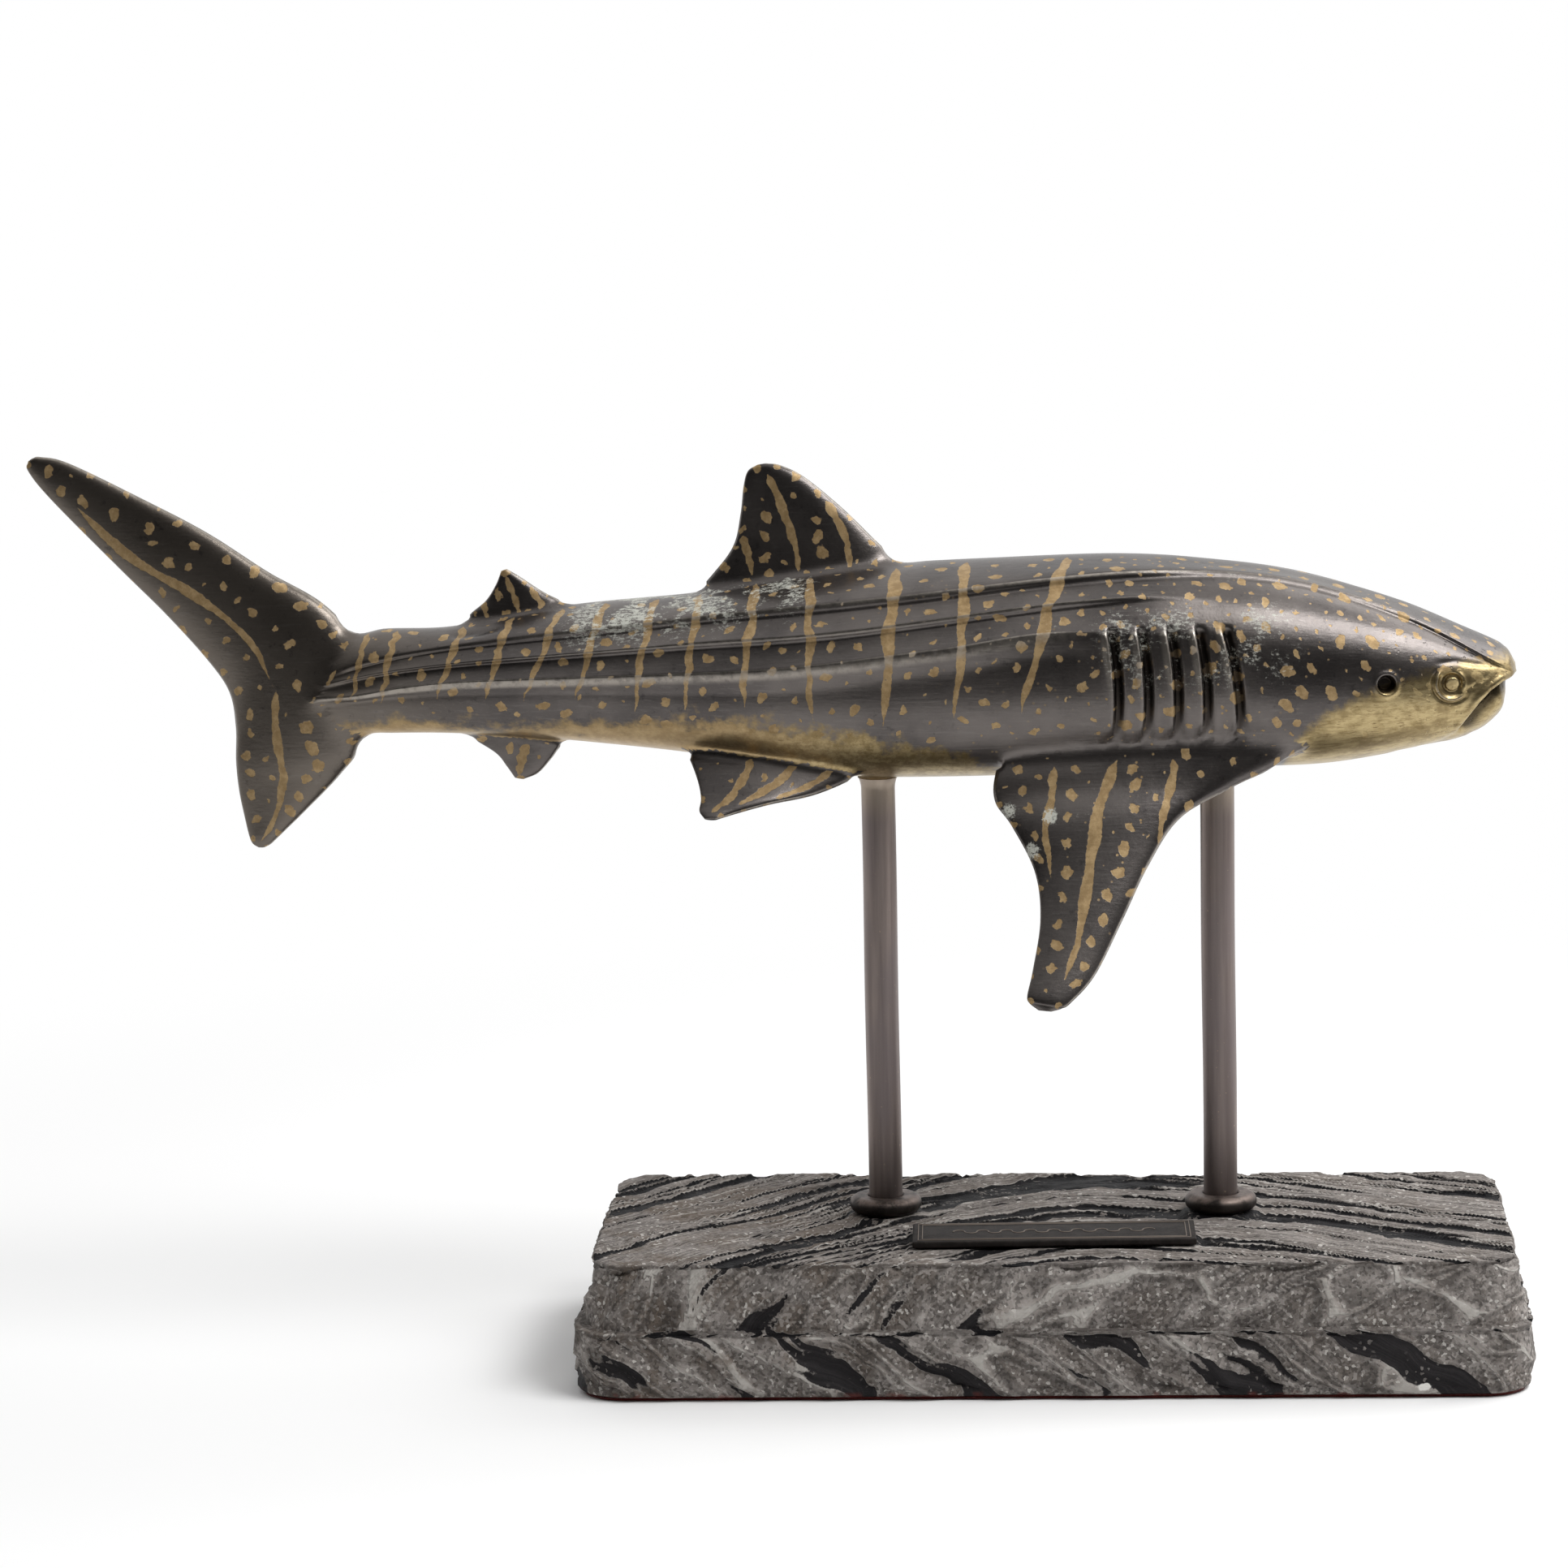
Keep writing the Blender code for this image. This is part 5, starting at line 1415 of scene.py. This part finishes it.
def layered_stone():
    """Grey crystalline stone with black layers and salt-and-pepper grains, a painted highlight along the
    ridges of its sides and painted shade in their hollows.
    """
    f = Finish("layered_grey_stone")
    names = ("vein", "border", "layer", "on_top", "tone")
    vein, border, layer, top, own_tone = (f.attribute(name, 2) for name in names)
    px, _, pz = f.parts(f.place)
    cloud = f.noise(f.place, 0.020, 4, 0.6)
    waver = f.node("ShaderNodeTexNoise", None, {"Vector": f.place, "Scale": 500.0}, 1)
    bent = f.vector("ADD", f.place, f.vector("MULTIPLY", waver, (0.0016,) * 3))
    grain, small, _ = f.parts(f.node("ShaderNodeTexVoronoi", None, {"Vector": bent, "Scale": 900.0}, 1))
    clot = f.noise(f.place, 0.0030, 4, 0.75)
    sheet = f.node("ShaderNodeCombineXYZ", None, {0: layer * 0.9, 1: px * 26, 2: pz * 40})
    streak = f.noise(sheet, 1.0, 5, 0.65)
    hair = f.node("ShaderNodeCombineXYZ", None, {0: layer * 1.9, 1: px * 34, 2: pz * 60})
    hairline = f.noise(hair, 1.0, 3, 0.55)
    tone = 0.50 + (f.step(streak, 0.30, 0.70) - 0.5) * (0.30 + 0.75 * top) + (clot - 0.5) * 1.1
    # Painted shade: on the sides the tone is raised at the ridges and lowered towards the middle of each
    # hollow, besides each hollow's own tone.
    tone = tone + own_tone * 0.35 + (1 - top) * (0.36 - f.step(border, 0.02, 0.50) * 0.50)
    tone = tone.maths("MAXIMUM", 0.0).maths("MINIMUM", 1.0)
    colour = f.mix(tone, (0.085, 0.075, 0.069), (0.365, 0.332, 0.308))
    brown = f.step(cloud, 0.40, 0.62) * (0.25 + 0.5 * f.step(px, 0.02, -0.12))
    colour = f.mix(brown, colour, (0.135, 0.104, 0.080))
    speckled = 1 - top * 0.55
    colour = f.mix(f.step(grain, 0.78, 0.82) * 0.5 * speckled, colour, (0.42, 0.39, 0.365))
    colour = f.mix(f.step(grain, 0.27, 0.23) * 0.5 * speckled, colour, (0.045, 0.040, 0.037))
    colour = f.mix(f.step(small, 0.955, 0.97) * 0.7, colour, (0.66, 0.63, 0.59))
    torn = (clot - 0.5) * 0.20
    rim = f.step(vein + torn + top * 0.04, -0.06, -0.02) * f.step(vein + torn, 0.03, -0.01)
    rim = rim * f.step(cloud, 0.40, 0.55) * (0.55 + 0.45 * top)
    colour = f.mix(rim * 0.7, colour, (0.50, 0.47, 0.44))
    paler = f.step(streak, 0.4, 0.7) * 0.5 + (1 - top) * 0.5
    black = f.mix(paler, (0.004, 0.004, 0.005), (0.032, 0.029, 0.030))
    dark = f.step(vein + torn, -0.02, 0.02)
    thin = f.step(hairline, 0.62, 0.66) * (0.15 + top * 0.85)
    dark = dark.maths("MAXIMUM", thin * 0.9)
    crumbs = f.step(grain, 0.90, 0.94) * f.step(cloud, 0.46, 0.60) * 0.7
    colour = f.mix(dark * (1 - crumbs), colour, black)
    sharp = (1 - top) * (1 - dark)
    # Painted highlight: a thin pale line along each ridge of the sides, where the light catches it.
    ridge = f.step(border + (clot - 0.5) * 0.10, 0.065, 0.015) * sharp
    crest_line = f.step(border + (clot - 0.5) * 0.05, 0.050, 0.028) * sharp
    ridge = ridge.maths("MAXIMUM", crest_line * 1.2)
    colour = f.mix(ridge * f.step(cloud, 0.66, 0.44) * 0.65, colour, (0.50, 0.475, 0.44))
    # Painted shadow: a dark band in each hollow just beside its ridge.
    ridge_shadow = f.step(border + torn, 0.34, 0.16) * f.step(border + torn * 0.5, 0.05, 0.12) * sharp
    colour = f.mix(ridge_shadow * f.step(cloud, 0.36, 0.56) * 0.65, colour, (0.034, 0.030, 0.028))
    red = f.step(pz, 0.0040, 0.0022) * f.step(f.noise(f.place, 0.012, 3), 0.58, 0.66)
    colour = f.mix(red * 0.5, colour, (0.16, 0.035, 0.028))
    # A chip of white plaster has stuck near the lower edge in front.
    chip = f.vector("SUBTRACT", bent, (0.1362, -0.0812, 0.0052))
    chip = f.length(f.vector("MULTIPLY", chip, (0.55, 0.1, 1.0)))
    colour = f.mix(f.step(chip, 0.0015, 0.0011), colour, (0.80, 0.78, 0.74))
    heights = grain * 0.5 + clot * 1.2 + streak * 0.7 * (0.3 + top * 0.7) - dark * 0.7 + ridge * 0.8
    return f.surface({
        "Base Color": colour, "Roughness": 0.68 - 0.14 * dark, "Specular IOR Level": 0.10,
        "Normal": f.bump(heights, 0.0007, 1.0),
    })


plinth = lone_object("plinth", block)
block.shade_smooth()
combine(plinth, "DIFFERENCE", [drill(word) for word in ("rear", "front")])
plinth.data.shade_smooth()
plinth.data.set_sharp_from_angle(angle=math.radians(62))
plinth.data.materials.clear()
plinth.data.materials.append(layered_stone())
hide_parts("stone_plinth")
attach(plinth, "root")


# Plaque. A thin dark bronze plate with softly bevelled edges, glued to the top of the stone. It has
# a double border line, and where a title would go it carries a plain row of waves.
PLAQUE_SIZE, PLAQUE_TURN, PLAQUE_BEVEL = (0.1048, 0.0290), math.radians(1.5), 0.0007
BORDER_INSETS, BEAD = (0.0021, 0.0036), 0.00030
WAVE_RADIUS, WAVE_COUNT, LINES_MARGIN = 0.0022, 17, 0.006
low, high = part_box("plaque")
plaque_middle = (low + high) / 2
plate_finish = dark_bronze("dark_bronze_plaque", 0.0, 0.15, high.z)
bm = bmesh.new()
bmesh.ops.create_cube(bm, size=1.0)
bmesh.ops.scale(bm, vec=(*PLAQUE_SIZE, high.z - low.z), verts=bm.verts)
bmesh.ops.bevel(bm, geom=bm.edges, offset=PLAQUE_BEVEL, segments=3, profile=0.6, affect="EDGES")
plate = bpy.data.meshes.new("plaque_plate")
bm.to_mesh(plate)
bm.free()

relief_tree, graph, given = add_modifier_tree("plaque_relief", ["Length", "Depth", "Bead", "Count", "Wave"])
bead = graph.node("GeometryNodeCurvePrimitiveCircle", None, {"Resolution": 8, "Radius": given["Bead"]})
strips = []
for inset in BORDER_INSETS:
    sizes = {"Width": given["Length"] - 2 * inset, "Height": given["Depth"] - 2 * inset}
    frame_line = graph.node("GeometryNodeCurvePrimitiveQuadrilateral", None, sizes)
    strips.append(graph.node("GeometryNodeCurveToMesh", None, {0: frame_line, 1: bead}))
row_end = graph.node("ShaderNodeCombineXYZ", None, {0: given["Wave"] * 2, 1: 0.0, 2: 0.0})
row = graph.node("GeometryNodeMeshLine", {"mode": "OFFSET"}, {"Count": given["Count"], "Offset": row_end})
swell = graph.node("GeometryNodeCurveArc", {"mode": "RADIUS"}, {
    "Resolution": 18, "Radius": given["Wave"], "Start Angle": 0.0, "Sweep Angle": math.pi,
})
number = graph.node("GeometryNodeInputIndex")
flip = number.maths("MODULO", 2.0) * math.pi
spin = graph.node("ShaderNodeCombineXYZ", None, {0: 0.0, 1: 0.0, 2: flip})
sockets = {"Points": row, "Instance": swell, "Rotation": spin}
waves = graph.node("GeometryNodeInstanceOnPoints", None, sockets)
waves = graph.node("GeometryNodeRealizeInstances", None, {0: waves})
strips.append(graph.node("GeometryNodeCurveToMesh", None, {0: waves, 1: bead, "Fill Caps": True}))
joined_strips = graph.node("GeometryNodeJoinGeometry")
for strip in strips:
    graph.tree.links.new(strip.socket, joined_strips.socket.node.inputs[0])
end_tree(graph, joined_strips, plate_finish)
lines = grow("plaque_lines", relief_tree, {
    "Length": PLAQUE_SIZE[0], "Depth": PLAQUE_SIZE[1], "Bead": BEAD, "Count": WAVE_COUNT,
    "Wave": WAVE_RADIUS,
})
line_points = vertex_array(lines)
# The row of waves starts at the middle, so it is moved back by half its length.
is_wave = np.abs(line_points[:, 1]) < PLAQUE_SIZE[1] / 2 - LINES_MARGIN
is_wave &= line_points[:, 0] > -PLAQUE_SIZE[0] / 2 + LINES_MARGIN
line_points[is_wave, 0] -= WAVE_RADIUS * (WAVE_COUNT - 1)
line_points[:, 2] += (high.z - low.z) / 2
lines.vertices.foreach_set("co", line_points.ravel())
add_to(plate, lines)
plate.transform(Matrix.Translation(plaque_middle) @ Matrix.Rotation(PLAQUE_TURN, 4, "Z"))
plate.shade_smooth()
plate.set_sharp_from_angle(angle=math.radians(50))
plaque = lone_object("bronze_plaque", plate)
plate.materials.clear()
plate.materials.append(plate_finish)
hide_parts("plaque")
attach(plaque, "root")


# Washers and nuts. Plated steel, let into the underside of the stone over the felt. Each nut draws
# the spigot of its post down through the stone, and so holds the stone to the bronze.
def plated_steel():
    """Zinc plate over steel: a faint yellow bloom, turning marks and a fine grain."""
    f = Finish("plated_steel")
    bloom = f.noise(f.place, 0.005, 4, 0.6)
    colour = f.mix(f.step(bloom, 0.35, 0.65), (0.48, 0.48, 0.47), (0.66, 0.64, 0.56))
    marks = f.noise(f.stretch(f.place, (300, 300, 2500)), 1.0, 3)
    return f.surface({
        "Base Color": colour, "Metallic": 1.0, "Roughness": 0.28 + 0.2 * bloom,
        "Normal": f.bump(marks, 0.00005, 0.6),
    })


steel = plated_steel()
for word in ("rear", "front"):
    for kind in ("washer", "nut"):
        holder = frame["nodes"][f"{word}_{kind}"]
        holder.data.materials.clear()
        holder.data.materials.append(steel)


# Felt. A sheet of red wool felt glued under the stone, cut to its outline a little way in. It closes
# the counterbores and keeps the stone off the shelf.
def red_felt():
    """Matted wool, darkened by painted shade under the stone: short crossing fibres, uneven dye and a soft
    nap.
    """
    f = Finish("red_felt")
    fibres = f.noise(f.stretch(f.place, (2600, 700, 1500), (0, 0, 0.6)), 1.0, 3, 0.7)
    crossing = f.noise(f.stretch(f.place, (700, 2600, 1500), (0, 0, 0.3)), 1.0, 3, 0.7)
    dye = f.noise(f.place, 0.012, 3)
    # Painted shade: both reds are set darker than the felt's own red, for the shadow under the stone's
    # edge.
    colour = f.mix(f.step(dye, 0.3, 0.7), (0.085, 0.012, 0.010), (0.150, 0.022, 0.018))
    colour = f.mix(f.step(fibres + crossing, 0.95, 1.25) * 0.4, colour, (0.26, 0.07, 0.06))
    f.shader.inputs["Sheen Weight"].default_value = 0.35
    return f.surface({
        "Base Color": colour, "Roughness": 0.95, "Specular IOR Level": 0.1,
        "Normal": f.bump(fibres + crossing, 0.0003, 0.9),
    })


FELT_GRID = (92, 44)
low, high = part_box("felt_pad")
inset = half_length - (high.x - low.x) * 500
felt_thickness = (high.z - low.z) * 1000
s, t, quads, rim = grid_of(*FELT_GRID)
fx, fy = rounded(s, t, inset, CORNER - inset)
lower = np.stack([fx, fy, np.zeros_like(fx)], -1).reshape(-1, 3)
nap = 0.06 * (1 + rough(lower, 6.0, 4.0))
upper = lower + np.stack([np.zeros_like(nap), np.zeros_like(nap), felt_thickness - nap], -1)
ahead = np.roll(rim, -1)
walls = np.stack([rim, ahead, ahead + s.size, rim + s.size], -1)
felt_mesh = bpy.data.meshes.new("felt")
faces = quads[:, ::-1].tolist() + (quads + s.size).tolist() + walls.tolist()
felt_mesh.from_pydata(np.concatenate([lower, upper]) * MM, [], faces)
felt_mesh.shade_smooth()
felt_mesh.set_sharp_from_angle(angle=math.radians(50))
felt = lone_object("felt_sheet", felt_mesh)
felt_mesh.materials.append(red_felt())
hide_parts("felt_pad")
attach(felt, "root")
